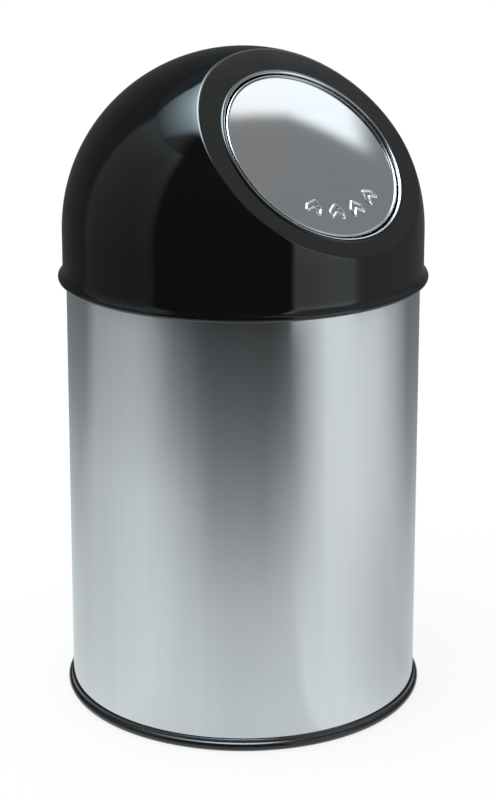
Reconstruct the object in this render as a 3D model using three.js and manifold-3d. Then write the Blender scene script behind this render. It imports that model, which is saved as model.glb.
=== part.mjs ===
// A free-standing waste bin: a steel drum on a black base ring, a domed lid with a round push flap set in a
// slanted flat face, and a lift-out bucket with a wire bail. Millimetres, +Z up. The origin is the centre of
// the footprint, on the floor, and the flap faces -Y.
import * as THREE from "three";
import { mergeVertices } from "three/addons/utils/BufferGeometryUtils.js";
import Module from "manifold-3d";

const wasm = await Module();
wasm.setup();

// ---------------------------------------------------------------- driving dimensions
const GAP = 0.3; // seat between two pieces that touch
const ROUND = 48; // sides of the large rounds
const DOME_STEPS = 12; // rings of the dome from its skirt to its top
const SMALL_ROUND = 12; // sides of rivets, pins and holes

// drum
const BODY_RADIUS = 150;
const BODY_WALL = 0.8;
const BODY_BOTTOM = 4; // lower edge of the sheet, inside the base ring's groove
const BODY_TOP = 385;
const BODY_BEAD_RADIUS = 3; // rim curled inwards
const SEAM_WIDTH = 9; // lap of the rolled sheet, at the back
const SEAM_RISE = 0.5;
const SEAM_FOOT_GAP = 1; // from the base ring's top to the lap
const SEAM_TOP_GAP = 11.7; // from the lap's upper end to the rim

// base ring and bottom plate
const RING_HEIGHT = 10.3;
const RING_BULGE = 4.4; // how far the ring stands out past the drum
const RING_FOOT_OUT = 1.5; // how far its foot stands out past the drum
const RING_LIP = 1.3; // wall outside the groove
const RING_INNER_WALL = 4;
const RING_INNER_HEIGHT = 14;
const RING_SHELF_WIDTH = 12;
const RING_SHELF_THICKNESS = 3;
const PLATE_WALL = 0.8;
const PLATE_FLANGE = 10;
const PLATE_DISH_MARGIN = 14; // flat band inside the bucket's foot
const PLATE_DISH_RISE = 1.6;
const BASE_SCREWS = 4;
const BASE_SCREW_RADIUS = 1.8;
const BASE_SCREW_LENGTH = 10;
const BASE_SCREW_HEAD_RADIUS = 4;
const BASE_SCREW_HEAD_HEIGHT = 2;

// lift-out bucket
const BUCKET_AIR = 16.2; // between the drum's wall and the bucket's
const BUCKET_TAPER = 15; // how much smaller its foot's radius is
const BUCKET_WALL = 0.8;
const BUCKET_DROP = 35; // from the drum's rim down to the bucket's
const BUCKET_COLLAR = 36; // straight part below the rim
const BUCKET_FOOT_HEIGHT = 4;
const BUCKET_FOOT_WIDTH = 2.5;
const BUCKET_BEAD_RADIUS = 2.8; // rim curled outwards

// bail and its ears
const BAIL_WIRE_RADIUS = 2;
const BAIL_END_INSIDE = 8; // how far the wire reaches past the ear
const BAIL_STEPS = 16; // straight stretches in a quarter of the loop
const BAIL_HEAD_RADIUS = 3.4;
const BAIL_HEAD_LENGTH = 1.6;
const BAIL_HOLE_CLEARANCE = 0.5;
const EAR_WIDTH = 26;
const EAR_THICKNESS = 1.5;
const EAR_BELOW_RIM = 30;
const EAR_TOP_RADIUS = 9;
const EAR_SHOULDER_DROP = 12; // from the rim down to where its top narrows
const EAR_RIVET_SPREAD = 8; // from the ear's middle line
const EAR_RIVET_DROP = 20; // below the rim
const RIVET_RADIUS = 2;
const RIVET_HEAD_RADIUS = 3.8;
const RIVET_HEAD_HEIGHT = 1.4;

// domed lid
const DOME_OVERHANG = 3; // how far the skirt stands out past the drum
const DOME_WALL = 1.2;
const DOME_CENTRE_RISE = 22; // from the drum's rim up to the dome's centre
const DOME_LAP = 20; // from the drum's rim down to the hem
const HEM_BEAD_RADIUS = 2.8;
const HEM_BEAD_REACH = 4; // how far the hem stands out past the skirt
const HEM_FLARE = 6; // height of the flare above the bead
const FACE_ELEVATION = 43.5; // degrees, of the flat face's outward direction
const FACE_BAND = 18.1955; // flat band below the hole, on the face's middle line
const HOLE_RADIUS = 81.5;
const HOLE_DROP = 4; // hole's centre, down the slope from the flat face's centre
const LIP_RADIUS = 2.2; // rolled edge of the hole
const LIP_DEPTH = 0.9; // centre of the rolled edge behind the face

// seat ring inside the lid
const SEAT_WALL = 1.2;
const SEAT_UPSTAND = 13;
const SEAT_DOWNTURN = 12;
const SEAT_PLAY = 0.8; // radial play between the downturn and the drum's bead

// flap
const FLAP_PLAY = 1.5; // between the hole's edge and the flap's
const FLAP_SHEET = 0.8;
const FLAP_BEAD_RADIUS = 1.8;
const FLAP_BEAD_DEPTH = 1.3;
const FLAP_RISE = 3.6; // crown of the pressed front
const FLAP_GROOVE_DEPTH = 2.2; // lowest part of the front, just inside the bead
const FLAP_GROOVE_WIDTH = 3.4;
const BACKING_INSET = 1.6; // from the flap's edge
const BACKING_SHEET = 0.8;
const CROWN_STEPS = 4; // rings of the crown
const MARK_COUNT = 4;
const MARK_RISE = 0.7;
const MARK_LINE = 1.6; // width of the raised outline
const MARK_WIDTH = 15;
const MARK_POINT = 7.5; // rise of the chevron from its tails to its point
const MARK_BAND = 10; // height of its arms
const MARK_INSET = 23; // from the flap's edge to a mark's middle
const MARK_STEP = 22; // degrees from mark to mark

// hinge strap on the flap's back
const STRAP_WIDTH = 28;
const STRAP_SHEET = 1.5;
const STRAP_FORK_LENGTH = 12; // open end around the spring, measured from the pin
const STRAP_EAR_RADIUS = 5.2;
const STRAP_EAR_FOOT = 16;
const STRAP_END_INSET = 14; // from the flap's edge to its full width
const STRAP_TAB_WIDTH = 12;
const STRAP_RIVET_RADIUS = 1.6;
const STRAP_RIVET_HEAD_RADIUS = 3.4;
const STRAP_RIVET_HEAD_HEIGHT = 1.2;
const STRAP_RIVETS = 3;
const STRAP_RIVET_FIRST = 28; // from the pin down the slope to the first
const STRAP_RIVET_LAST = 12; // from the strap's full-width end up to the last
const BUMPER_RADIUS = 3.8;
const BUMPER_STEM_RADIUS = 1.5;
const BUMPER_BULB_RADIUS = 2.8;
const BUMPER_BULB_HEIGHT = 1.8;
const BUMPER_MARGIN = 1; // between the hole's rolled edge and the bumper

// hinge
const HINGE_INSET = 14; // from the hole's upper edge down the slope to the pin
const HINGE_DEPTH = 12; // behind the flat face
const PIN_RADIUS = 2.5;
const PIN_PLAY = 0.15;
const PIN_HEAD_RADIUS = 4;
const PIN_HEAD_LENGTH = 1.6;
const PIN_TAIL = 3.4; // length past the bracket's ear
const PIN_GROOVE_RADIUS = 1.9;
const PIN_GROOVE_WIDTH = 1.1;
const CLIP_RADIUS = 4.6;
const CLIP_THICKNESS = 0.8;
const BRACKET_SHEET = 1.5;
const BRACKET_MARGIN = 1.6; // between the hole's rolled edge and its base
const BRACKET_BASE_WIDTH = 11;
const BRACKET_EAR_RADIUS = 6;
const BRACKET_EAR_PLAY = 1; // between its ears and the strap's
const STUD_RADIUS = 1.8;
const STUD_LENGTH = 7.5;
const STUD_INSET = 5.4; // from the bracket's end
const NUT_PLAY = 2.1; // between the nut's corner and the bracket's ear
const NUT_RADIUS = 4;
const NUT_HEIGHT = 3.2;

// torsion spring on the pin
const SPRING_WIRE_RADIUS = 0.8;
const SPRING_RADIUS = 4.6;
const SPRING_CURLS = 6;
const SPRING_PITCH = 2.15;
const SPRING_FLAP_LEG = 30;
const SPRING_LID_LEG = 27;
const SPRING_STEPS = 8;
const SPRING_SIDES = 5;

// ---------------------------------------------------------------- sizes that follow from them
const BODY_INSIDE = BODY_RADIUS - BODY_WALL;
const SEAM_BOTTOM = RING_HEIGHT + SEAM_FOOT_GAP;
const SEAM_LENGTH = BODY_TOP - SEAM_TOP_GAP - SEAM_BOTTOM;
const PLATE_BOTTOM = RING_INNER_HEIGHT + GAP;
const BUCKET_RADIUS = BODY_INSIDE - BUCKET_AIR;
const BUCKET_FOOT_RADIUS = BUCKET_RADIUS - BUCKET_TAPER;
const BUCKET_TOP = BODY_TOP - BUCKET_DROP;
const PLATE_DISH_RADIUS = BUCKET_FOOT_RADIUS - PLATE_DISH_MARGIN;
const BUCKET_BOTTOM = PLATE_BOTTOM + PLATE_WALL + GAP;
const BUCKET_INSIDE = BUCKET_RADIUS - BUCKET_WALL;
const BUCKET_BEAD_CENTRE = BUCKET_INSIDE + BUCKET_BEAD_RADIUS;
const BAIL_Z = BUCKET_TOP + GAP + BAIL_WIRE_RADIUS;
const EAR_OUTSIDE = BUCKET_INSIDE - GAP;
const EAR_INSIDE = EAR_OUTSIDE - EAR_THICKNESS;
const BAIL_BEND_RADIUS = BUCKET_BEAD_CENTRE - EAR_OUTSIDE; // the bend starts just outside the ear
const DOME_RADIUS = BODY_RADIUS + DOME_OVERHANG;
const DOME_INSIDE = DOME_RADIUS - DOME_WALL;
const DOME_CENTRE_Z = BODY_TOP + DOME_CENTRE_RISE;
const DOME_BOTTOM = BODY_TOP - DOME_LAP;
const FACE_RADIUS = HOLE_RADIUS + HOLE_DROP + FACE_BAND;
const FACE_OFFSET = Math.sqrt(DOME_RADIUS ** 2 - FACE_RADIUS ** 2); // from the dome's centre
const SEAT_BOTTOM = BODY_TOP + GAP;
const SEAT_OUTSIDE = DOME_INSIDE - GAP;
const SEAT_INSIDE = BODY_RADIUS - 2 * BODY_BEAD_RADIUS - SEAT_PLAY - SEAT_WALL;
const FLAP_RADIUS = HOLE_RADIUS - FLAP_PLAY;
const CROWN_RADIUS = FLAP_RADIUS - 2 * FLAP_BEAD_RADIUS - FLAP_GROOVE_WIDTH / 2;
const BACKING_RADIUS = FLAP_RADIUS - BACKING_INSET;
const STRAP_END = STRAP_END_INSET - HOLE_DROP - FLAP_RADIUS; // up the slope from the face's centre
const MARK_RING_RADIUS = FLAP_RADIUS - MARK_INSET;
const BACKING_TOP = FLAP_BEAD_DEPTH + FLAP_BEAD_RADIUS + GAP; // depths behind the face
const STRAP_TOP = BACKING_TOP + BACKING_SHEET + GAP;
const STRAP_BACK = STRAP_TOP + STRAP_SHEET;
const HINGE_UP = HOLE_RADIUS - HOLE_DROP - HINGE_INSET; // places up the slope from the face's centre
const BRACKET_LOW = HOLE_RADIUS - HOLE_DROP + 2 * LIP_RADIUS + BRACKET_MARGIN;
const BRACKET_HIGH = BRACKET_LOW + BRACKET_BASE_WIDTH;
const BUMPER_PLACE = HOLE_RADIUS + HOLE_DROP + 2 * LIP_RADIUS + BUMPER_RADIUS + BUMPER_MARGIN; // down it
const BRACKET_TOP = DOME_WALL + GAP;
const BRACKET_EAR_INSIDE = STRAP_WIDTH / 2 + BRACKET_EAR_PLAY;
const BRACKET_EAR_OUTSIDE = BRACKET_EAR_INSIDE + BRACKET_SHEET;
const STUD_SPREAD = BRACKET_EAR_OUTSIDE + NUT_PLAY + NUT_RADIUS;
const BRACKET_HALF_WIDTH = STUD_SPREAD + STUD_INSET;
const BRACKET_ARM_TOP = LIP_DEPTH + LIP_RADIUS + 2 * GAP + BRACKET_SHEET;
const PIN_HOLE = PIN_RADIUS + PIN_PLAY;

// ---------------------------------------------------------------- shape helpers
const radians = (degrees) => (degrees * Math.PI) / 180;

// A geometry with shared vertices, no empty triangles and its faces pointing out.
function closed(geometry) {
  const bare = geometry.clone();
  bare.deleteAttribute("normal");
  bare.deleteAttribute("uv");
  const merged = mergeVertices(bare, 1e-4);
  const at = merged.attributes.position;
  const index = merged.index.array;
  const kept = [];
  const a = new THREE.Vector3();
  const b = new THREE.Vector3();
  const c = new THREE.Vector3();
  let volume = 0;
  for (let i = 0; i < index.length; i += 3) {
    const [p, q, r] = [index[i], index[i + 1], index[i + 2]];
    if (p === q || q === r || r === p) continue;
    kept.push(p, q, r);
    a.fromBufferAttribute(at, p);
    b.fromBufferAttribute(at, q);
    c.fromBufferAttribute(at, r);
    volume += a.dot(b.cross(c));
  }
  if (volume < 0) kept.reverse();
  merged.setIndex(kept);
  return merged;
}

function solid(geometry) {
  const shape = closed(geometry);
  const vertProperties = new Float32Array(shape.attributes.position.array);
  const triVerts = new Uint32Array(shape.index.array);
  return new wasm.Manifold(new wasm.Mesh({ numProp: 3, vertProperties, triVerts }));
}

function geometryOf(manifold) {
  const mesh = manifold.getMesh();
  const geometry = new THREE.BufferGeometry();
  geometry.setAttribute("position", new THREE.BufferAttribute(mesh.vertProperties, 3));
  geometry.setIndex(new THREE.BufferAttribute(mesh.triVerts, 1));
  return geometry;
}

// Turns a profile of [radius, height] points about Z. The profile closes on itself.
function revolve(profile, sides = ROUND) {
  const points = [...profile, profile[0]].map(([r, z]) => new THREE.Vector2(r, z));
  return closed(new THREE.LatheGeometry(points, sides).rotateX(Math.PI / 2));
}

// Points on an arc of a profile, angles in degrees from the outward radius towards +Z.
function arc(centreR, centreZ, radius, from, to, steps) {
  const points = [];
  for (let i = 0; i <= steps; i += 1) {
    const angle = radians(from + ((to - from) * i) / steps);
    points.push([centreR + radius * Math.cos(angle), centreZ + radius * Math.sin(angle)]);
  }
  return points;
}

function rod(radius, low, high, sides = SMALL_ROUND) {
  return new THREE.CylinderGeometry(radius, radius, high - low, sides)
    .rotateX(Math.PI / 2)
    .translate(0, 0, (low + high) / 2);
}

function block(x0, x1, y0, y1, z0, z1) {
  return new THREE.BoxGeometry(x1 - x0, y1 - y0, z1 - z0)
    .translate((x0 + x1) / 2, (y0 + y1) / 2, (z0 + z1) / 2);
}

// A flat plate whose outline lies in the YZ plane and which runs from x0 to x1.
function sidePlate(outline, x0, x1) {
  const shape = new THREE.Shape(outline.map(([y, z]) => new THREE.Vector2(y, z)));
  return new THREE.ExtrudeGeometry(shape, { depth: x1 - x0, bevelEnabled: false })
    .applyMatrix4(new THREE.Matrix4().set(0, 0, 1, x0, 1, 0, 0, 0, 0, 1, 0, 0, 0, 0, 0, 1));
}

// A round wire along a list of points, closed by a flat disc at each end.
function wire(points, radius, sides) {
  const positions = [];
  const index = [];
  const ahead = points.map((p, i) => {
    const before = points[Math.max(i - 1, 0)];
    const after = points[Math.min(i + 1, points.length - 1)];
    return new THREE.Vector3().subVectors(after, before).normalize();
  });
  const side = new THREE.Vector3(0.31, 0.17, 1).cross(ahead[0]).normalize();
  points.forEach((p, i) => {
    side.addScaledVector(ahead[i], -side.dot(ahead[i])).normalize();
    const up = new THREE.Vector3().crossVectors(ahead[i], side);
    for (let k = 0; k < sides; k += 1) {
      const angle = (2 * Math.PI * k) / sides;
      const q = p.clone();
      q.addScaledVector(side, radius * Math.cos(angle));
      q.addScaledVector(up, radius * Math.sin(angle));
      positions.push(q.x, q.y, q.z);
    }
  });
  for (let i = 0; i + 1 < points.length; i += 1) {
    for (let k = 0; k < sides; k += 1) {
      const a = i * sides + k;
      const b = i * sides + ((k + 1) % sides);
      index.push(a, b, b + sides, a, b + sides, a + sides);
    }
  }
  const last = (points.length - 1) * sides;
  for (let k = 1; k + 1 < sides; k += 1) {
    index.push(0, k + 1, k);
    index.push(last, last + k, last + k + 1);
  }
  const geometry = new THREE.BufferGeometry();
  geometry.setAttribute("position", new THREE.Float32BufferAttribute(positions, 3));
  geometry.setIndex(index);
  return closed(geometry);
}

// ---------------------------------------------------------------- materials
const STEEL = { color: 0xb9bcbf, roughness: 0.3, metalness: 1 };
const BRIGHT_STEEL = { color: 0xd4d6d8, roughness: 0.12, metalness: 1 };
const GALVANISED = { color: 0xa8adb0, roughness: 0.45, metalness: 1 };
const ZINC = { color: 0xc0c2c0, roughness: 0.35, metalness: 1 };
const BLACK_ENAMEL = { color: 0x08090a, roughness: 0.12, metalness: 0 };
const BLACK_PLASTIC = { color: 0x0c0c0d, roughness: 0.35, metalness: 0 };
const SPRING_STEEL = { color: 0x8a8d90, roughness: 0.3, metalness: 1 };
const RUBBER = { color: 0x1b1b1c, roughness: 0.85, metalness: 0 };

function piece(parent, name, geometry, look) {
  const mesh = new THREE.Mesh(geometry, new THREE.MeshStandardMaterial(look));
  mesh.name = name;
  parent.add(mesh);
  return mesh;
}

// ---------------------------------------------------------------- drum
// One rolled sheet. Its rim curls inwards and the two ends lap at the back.
function bodyShell() {
  const bead = arc(BODY_RADIUS - BODY_BEAD_RADIUS, BODY_TOP - BODY_BEAD_RADIUS, BODY_BEAD_RADIUS, 0, 270, 7);
  const tube = solid(revolve([
    [BODY_INSIDE, BODY_BOTTOM],
    [BODY_RADIUS, BODY_BOTTOM],
    ...bead,
    [BODY_INSIDE, BODY_TOP - 2 * BODY_BEAD_RADIUS],
  ]));
  const lap = solid(revolve([
    [BODY_INSIDE + BODY_WALL / 2, 0],
    [BODY_RADIUS + SEAM_RISE, 0],
    [BODY_RADIUS + SEAM_RISE, SEAM_LENGTH],
    [BODY_INSIDE + BODY_WALL / 2, SEAM_LENGTH],
  ], 4 * ROUND));
  const strip = solid(block(-SEAM_WIDTH / 2, SEAM_WIDTH / 2, 0, 2 * BODY_RADIUS, 0, SEAM_LENGTH));
  return geometryOf(tube.add(lap.intersect(strip).translate([0, 0, SEAM_BOTTOM])));
}

// The places where the base ring is screwed to the bottom plate.
function baseScrewPlaces() {
  const ring = BODY_INSIDE - GAP - RING_INNER_WALL - RING_SHELF_WIDTH / 2;
  const places = [];
  for (let i = 0; i < BASE_SCREWS; i += 1) {
    const angle = radians(45) + (2 * Math.PI * i) / BASE_SCREWS;
    places.push([ring * Math.cos(angle), ring * Math.sin(angle)]);
  }
  return places;
}

function drillBaseScrews(shape) {
  let drilled = shape;
  for (const [x, y] of baseScrewPlaces()) {
    drilled = drilled.subtract(solid(rod(BASE_SCREW_RADIUS + GAP, 0, 60).translate(x, y, 0)));
  }
  return geometryOf(drilled);
}

// A moulded ring with a groove for the sheet's lower edge and a shelf under the bottom plate.
function baseRing() {
  const grooveOutside = BODY_RADIUS + GAP;
  const grooveInside = BODY_INSIDE - GAP;
  const wallInside = grooveInside - RING_INNER_WALL;
  const shelfInside = wallInside - RING_SHELF_WIDTH;
  const outside = BODY_RADIUS + RING_BULGE;
  const profile = [
    [wallInside, 0],
    [BODY_RADIUS + RING_FOOT_OUT, 0],
    [outside - 0.7, 2],
    [outside, 4.2],
    [outside - 0.5, 6.2],
    [outside - 1.8, 7.4],
    [grooveOutside + RING_LIP, 7.9],
    [grooveOutside + RING_LIP, RING_HEIGHT - 0.4],
    [grooveOutside + RING_LIP - 0.4, RING_HEIGHT],
    [grooveOutside, RING_HEIGHT],
    [grooveOutside, BODY_BOTTOM - GAP],
    [grooveInside, BODY_BOTTOM - GAP],
    [grooveInside, RING_INNER_HEIGHT],
    [shelfInside, RING_INNER_HEIGHT],
    [shelfInside, RING_INNER_HEIGHT - RING_SHELF_THICKNESS],
    [wallInside, RING_INNER_HEIGHT - RING_SHELF_THICKNESS],
  ];
  return drillBaseScrews(solid(revolve(profile)));
}

// A dished disc with an upright flange against the drum.
function bottomPlate() {
  const outside = BODY_INSIDE - GAP;
  const top = PLATE_BOTTOM + PLATE_WALL;
  const dish = top + PLATE_DISH_RISE;
  const profile = [
    [0, dish - PLATE_WALL],
    [PLATE_DISH_RADIUS, dish - PLATE_WALL],
    [PLATE_DISH_RADIUS + 2, PLATE_BOTTOM],
    [outside, PLATE_BOTTOM],
    [outside, PLATE_BOTTOM + PLATE_FLANGE],
    [outside - PLATE_WALL, PLATE_BOTTOM + PLATE_FLANGE],
    [outside - PLATE_WALL, top],
    [PLATE_DISH_RADIUS + 1.4, top],
    [PLATE_DISH_RADIUS - 0.6, dish],
    [0, dish],
  ];
  return drillBaseScrews(solid(revolve(profile)));
}

function baseScrew() {
  const shelf = RING_INNER_HEIGHT - RING_SHELF_THICKNESS;
  const head = shelf - GAP;
  const tip = head + BASE_SCREW_LENGTH;
  return revolve([
    [0, head - BASE_SCREW_HEAD_HEIGHT],
    [BASE_SCREW_HEAD_RADIUS * 0.7, head - BASE_SCREW_HEAD_HEIGHT],
    [BASE_SCREW_HEAD_RADIUS, head - BASE_SCREW_HEAD_HEIGHT * 0.4],
    [BASE_SCREW_HEAD_RADIUS, head],
    [BASE_SCREW_RADIUS, head],
    [BASE_SCREW_RADIUS, tip - 2],
    [0, tip],
  ], SMALL_ROUND);
}

// ---------------------------------------------------------------- bucket
// The two ears stand at -X and +X, and each has two rivets.
function rivetPlaces() {
  const places = [];
  for (const x of [-1, 1]) {
    for (const y of [-EAR_RIVET_SPREAD, EAR_RIVET_SPREAD]) {
      places.push([x, y]);
    }
  }
  return places;
}

const rivetZ = BUCKET_TOP - EAR_RIVET_DROP;

function bucket() {
  const straight = BUCKET_TOP - BUCKET_COLLAR;
  const beadZ = BUCKET_TOP - BUCKET_BEAD_RADIUS;
  const floor = BUCKET_BOTTOM + BUCKET_FOOT_HEIGHT;
  const footInside = BUCKET_FOOT_RADIUS - BUCKET_FOOT_WIDTH;
  const bead = arc(BUCKET_BEAD_CENTRE, beadZ, BUCKET_BEAD_RADIUS, -90, 180, 7);
  let shape = solid(revolve([
    [0, floor],
    [footInside - 1, floor],
    [footInside, BUCKET_BOTTOM],
    [BUCKET_FOOT_RADIUS, BUCKET_BOTTOM],
    [BUCKET_RADIUS, straight],
    [BUCKET_RADIUS, beadZ - BUCKET_BEAD_RADIUS],
    ...bead,
    [BUCKET_INSIDE, straight],
    [BUCKET_FOOT_RADIUS - BUCKET_WALL, floor + BUCKET_WALL],
    [0, floor + BUCKET_WALL],
  ]));
  for (const [x, y] of rivetPlaces()) {
    const hole = rod(RIVET_RADIUS + GAP, BUCKET_INSIDE - 20, BUCKET_RADIUS + 20);
    shape = shape.subtract(solid(hole.rotateY((x * Math.PI) / 2).translate(0, y, rivetZ)));
  }
  return geometryOf(shape);
}

// A curved plate inside the wall. It stands above the rim and has the bail's hole.
function ear() {
  const half = EAR_WIDTH / 2;
  const low = BUCKET_TOP - EAR_BELOW_RIM;
  const shoulder = BUCKET_TOP - EAR_SHOULDER_DROP;
  const outline = [[-half, low], [half, low], [half, shoulder]];
  outline.push(...arc(0, BAIL_Z, EAR_TOP_RADIUS, 10, 170, 10));
  outline.push([-half, shoulder]);
  const plate = solid(sidePlate(outline, EAR_INSIDE - 10, EAR_OUTSIDE + 5));
  const curve = solid(revolve([
    [EAR_INSIDE, low - 1],
    [EAR_OUTSIDE, low - 1],
    [EAR_OUTSIDE, BAIL_Z + 2 * EAR_TOP_RADIUS],
    [EAR_INSIDE, BAIL_Z + 2 * EAR_TOP_RADIUS],
  ], 2 * ROUND));
  const bore = rod(BAIL_WIRE_RADIUS + BAIL_HOLE_CLEARANCE, EAR_INSIDE - 20, EAR_OUTSIDE + 20);
  let shape = plate.intersect(curve).subtract(solid(bore.rotateY(Math.PI / 2).translate(0, 0, BAIL_Z)));
  for (const y of [-EAR_RIVET_SPREAD, EAR_RIVET_SPREAD]) {
    const hole = rod(RIVET_RADIUS + GAP, EAR_INSIDE - 20, EAR_OUTSIDE + 20);
    shape = shape.subtract(solid(hole.rotateY(Math.PI / 2).translate(0, y, rivetZ)));
  }
  return geometryOf(shape);
}

// A tinned rivet along X: a head inside the ear and a closed end outside the wall.
function rivet() {
  const edge = EAR_RIVET_SPREAD + RIVET_HEAD_RADIUS;
  const inside = Math.sqrt(EAR_INSIDE ** 2 - edge ** 2) - GAP;
  const outside = BUCKET_RADIUS + GAP;
  return revolve([
    [0, inside - RIVET_HEAD_HEIGHT],
    [RIVET_HEAD_RADIUS * 0.7, inside - RIVET_HEAD_HEIGHT],
    [RIVET_HEAD_RADIUS, inside - RIVET_HEAD_HEIGHT * 0.3],
    [RIVET_HEAD_RADIUS, inside],
    [RIVET_RADIUS, inside],
    [RIVET_RADIUS, outside],
    [RIVET_HEAD_RADIUS * 0.85, outside],
    [RIVET_HEAD_RADIUS * 0.85, outside + RIVET_HEAD_HEIGHT * 0.4],
    [RIVET_HEAD_RADIUS * 0.5, outside + RIVET_HEAD_HEIGHT],
    [0, outside + RIVET_HEAD_HEIGHT],
  ], SMALL_ROUND).rotateY(Math.PI / 2);
}

// A half ring of wire that lies on the back of the rim, its ends turned in through the ears and headed.
function bail() {
  const radius = BUCKET_BEAD_CENTRE;
  const bendX = radius - BAIL_BEND_RADIUS;
  const endX = EAR_INSIDE - BAIL_END_INSIDE;
  const half = [[endX, 0], [endX + BAIL_HEAD_LENGTH, 0], [bendX, 0]];
  for (let i = 1; i < 4; i += 1) {
    const angle = radians(-90 + (90 * i) / 4);
    half.push([
      bendX + BAIL_BEND_RADIUS * Math.cos(angle),
      BAIL_BEND_RADIUS + BAIL_BEND_RADIUS * Math.sin(angle),
    ]);
  }
  const start = Math.asin(BAIL_BEND_RADIUS / radius);
  for (let i = 0; i < BAIL_STEPS; i += 1) {
    const angle = start + ((Math.PI / 2 - start) * i) / BAIL_STEPS;
    half.push([radius * Math.cos(angle), radius * Math.sin(angle)]);
  }
  const mirrored = half.map(([x, y]) => [-x, y]).reverse();
  const points = [...half, [0, radius], ...mirrored].map(([x, y]) => new THREE.Vector3(x, y, 0));
  let shape = solid(wire(points, BAIL_WIRE_RADIUS, 8));
  for (const side of [-1, 1]) {
    const head = rod(BAIL_HEAD_RADIUS, endX - BAIL_HEAD_LENGTH, endX + BAIL_HEAD_LENGTH / 2);
    shape = shape.add(solid(head.rotateY((side * Math.PI) / 2)));
  }
  return geometryOf(shape);
}

// ---------------------------------------------------------------- lid
// The flat face's own frame: x across, y up the slope, z outwards, with its origin at the face's centre.
function faceMatrix() {
  const tilt = radians(90 - FACE_ELEVATION);
  const outward = new THREE.Vector3(0, -Math.sin(tilt), Math.cos(tilt)).multiplyScalar(FACE_OFFSET);
  const place = outward.add(new THREE.Vector3(0, 0, DOME_CENTRE_Z));
  return new THREE.Matrix4().makeRotationX(tilt).setPosition(place);
}

// Everything in front of a plane that lies the given depth behind the flat face.
function beyondFace(depth) {
  const reach = 3 * DOME_RADIUS;
  return solid(block(-reach, reach, -reach, reach, -depth, reach).applyMatrix4(faceMatrix()));
}

function domeShell() {
  const beadCentre = DOME_RADIUS + HEM_BEAD_REACH - HEM_BEAD_RADIUS;
  const beadZ = DOME_BOTTOM + HEM_BEAD_RADIUS;
  const flareFoot = beadZ + HEM_BEAD_RADIUS * 0.8;
  const outer = solid(revolve([
    [0, beadZ],
    ...arc(beadCentre, beadZ, HEM_BEAD_RADIUS, -180, 50, 7),
    [DOME_RADIUS + 1, flareFoot + HEM_FLARE * 0.35],
    [DOME_RADIUS, flareFoot + HEM_FLARE],
    ...arc(0, DOME_CENTRE_Z, DOME_RADIUS, 0, 90, DOME_STEPS),
  ]));
  const inner = solid(revolve([
    [0, beadZ - 1],
    [DOME_INSIDE, beadZ - 1],
    ...arc(0, DOME_CENTRE_Z, DOME_INSIDE, 0, 90, DOME_STEPS),
  ]));
  const skin = outer.subtract(beyondFace(0)).subtract(inner.subtract(beyondFace(DOME_WALL)));
  const lipCentre = HOLE_RADIUS + LIP_RADIUS;
  const hole = rod(lipCentre, -30, 30, ROUND).translate(0, -HOLE_DROP, 0).applyMatrix4(faceMatrix());
  const lip = revolve(arc(lipCentre, -LIP_DEPTH, LIP_RADIUS, 0, 315, 7))
    .translate(0, -HOLE_DROP, 0)
    .applyMatrix4(faceMatrix());
  return geometryOf(skin.subtract(solid(hole)).add(solid(lip)));
}

// A pressed ring, welded inside the skirt. It rests on the drum's rim, and its downturn centres the lid.
function seatRing() {
  const rest = SEAT_BOTTOM + SEAT_WALL;
  return revolve([
    [SEAT_INSIDE, SEAT_BOTTOM - SEAT_DOWNTURN],
    [SEAT_INSIDE + SEAT_WALL, SEAT_BOTTOM - SEAT_DOWNTURN],
    [SEAT_INSIDE + SEAT_WALL, SEAT_BOTTOM],
    [SEAT_OUTSIDE, SEAT_BOTTOM],
    [SEAT_OUTSIDE, SEAT_BOTTOM + SEAT_UPSTAND],
    [SEAT_OUTSIDE - SEAT_WALL, SEAT_BOTTOM + SEAT_UPSTAND],
    [SEAT_OUTSIDE - SEAT_WALL, rest],
    [SEAT_INSIDE, rest],
  ]);
}

// ---------------------------------------------------------------- flap, in the flat face's frame
function crown(r) {
  return -FLAP_GROOVE_DEPTH + FLAP_RISE * (1 - (r / CROWN_RADIUS) ** 2);
}

// The pressed front, as a solid of revolution raised by rise and bounded below by the depth given.
function crownSolid(rise, depth) {
  const profile = [[0, -depth], [CROWN_RADIUS, -depth]];
  for (let i = 0; i <= CROWN_STEPS; i += 1) {
    const r = CROWN_RADIUS * (1 - i / CROWN_STEPS);
    profile.push([r, crown(r) + rise]);
  }
  return solid(revolve(profile));
}

// A chevron that points to the middle of the flap, drawn in from its outline by the given inset.
function markOutline(inset) {
  const slope = MARK_POINT / (MARK_WIDTH / 2);
  const rise = inset * Math.hypot(1, slope);
  const w = MARK_WIDTH / 2 - inset;
  const tail = -(MARK_POINT + MARK_BAND) / 2 + slope * inset;
  const point = tail + slope * w;
  return [
    [-w, tail + rise],
    [0, point + rise],
    [w, tail + rise],
    [w, tail + MARK_BAND - rise],
    [0, point + MARK_BAND - rise],
    [-w, tail + MARK_BAND - rise],
  ];
}

function mark() {
  const shape = new THREE.Shape(markOutline(0).map(([x, y]) => new THREE.Vector2(x, y)));
  shape.holes.push(new THREE.Path(markOutline(MARK_LINE).map(([x, y]) => new THREE.Vector2(x, y))));
  return new THREE.ExtrudeGeometry(shape, { depth: 12, bevelEnabled: false });
}

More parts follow.
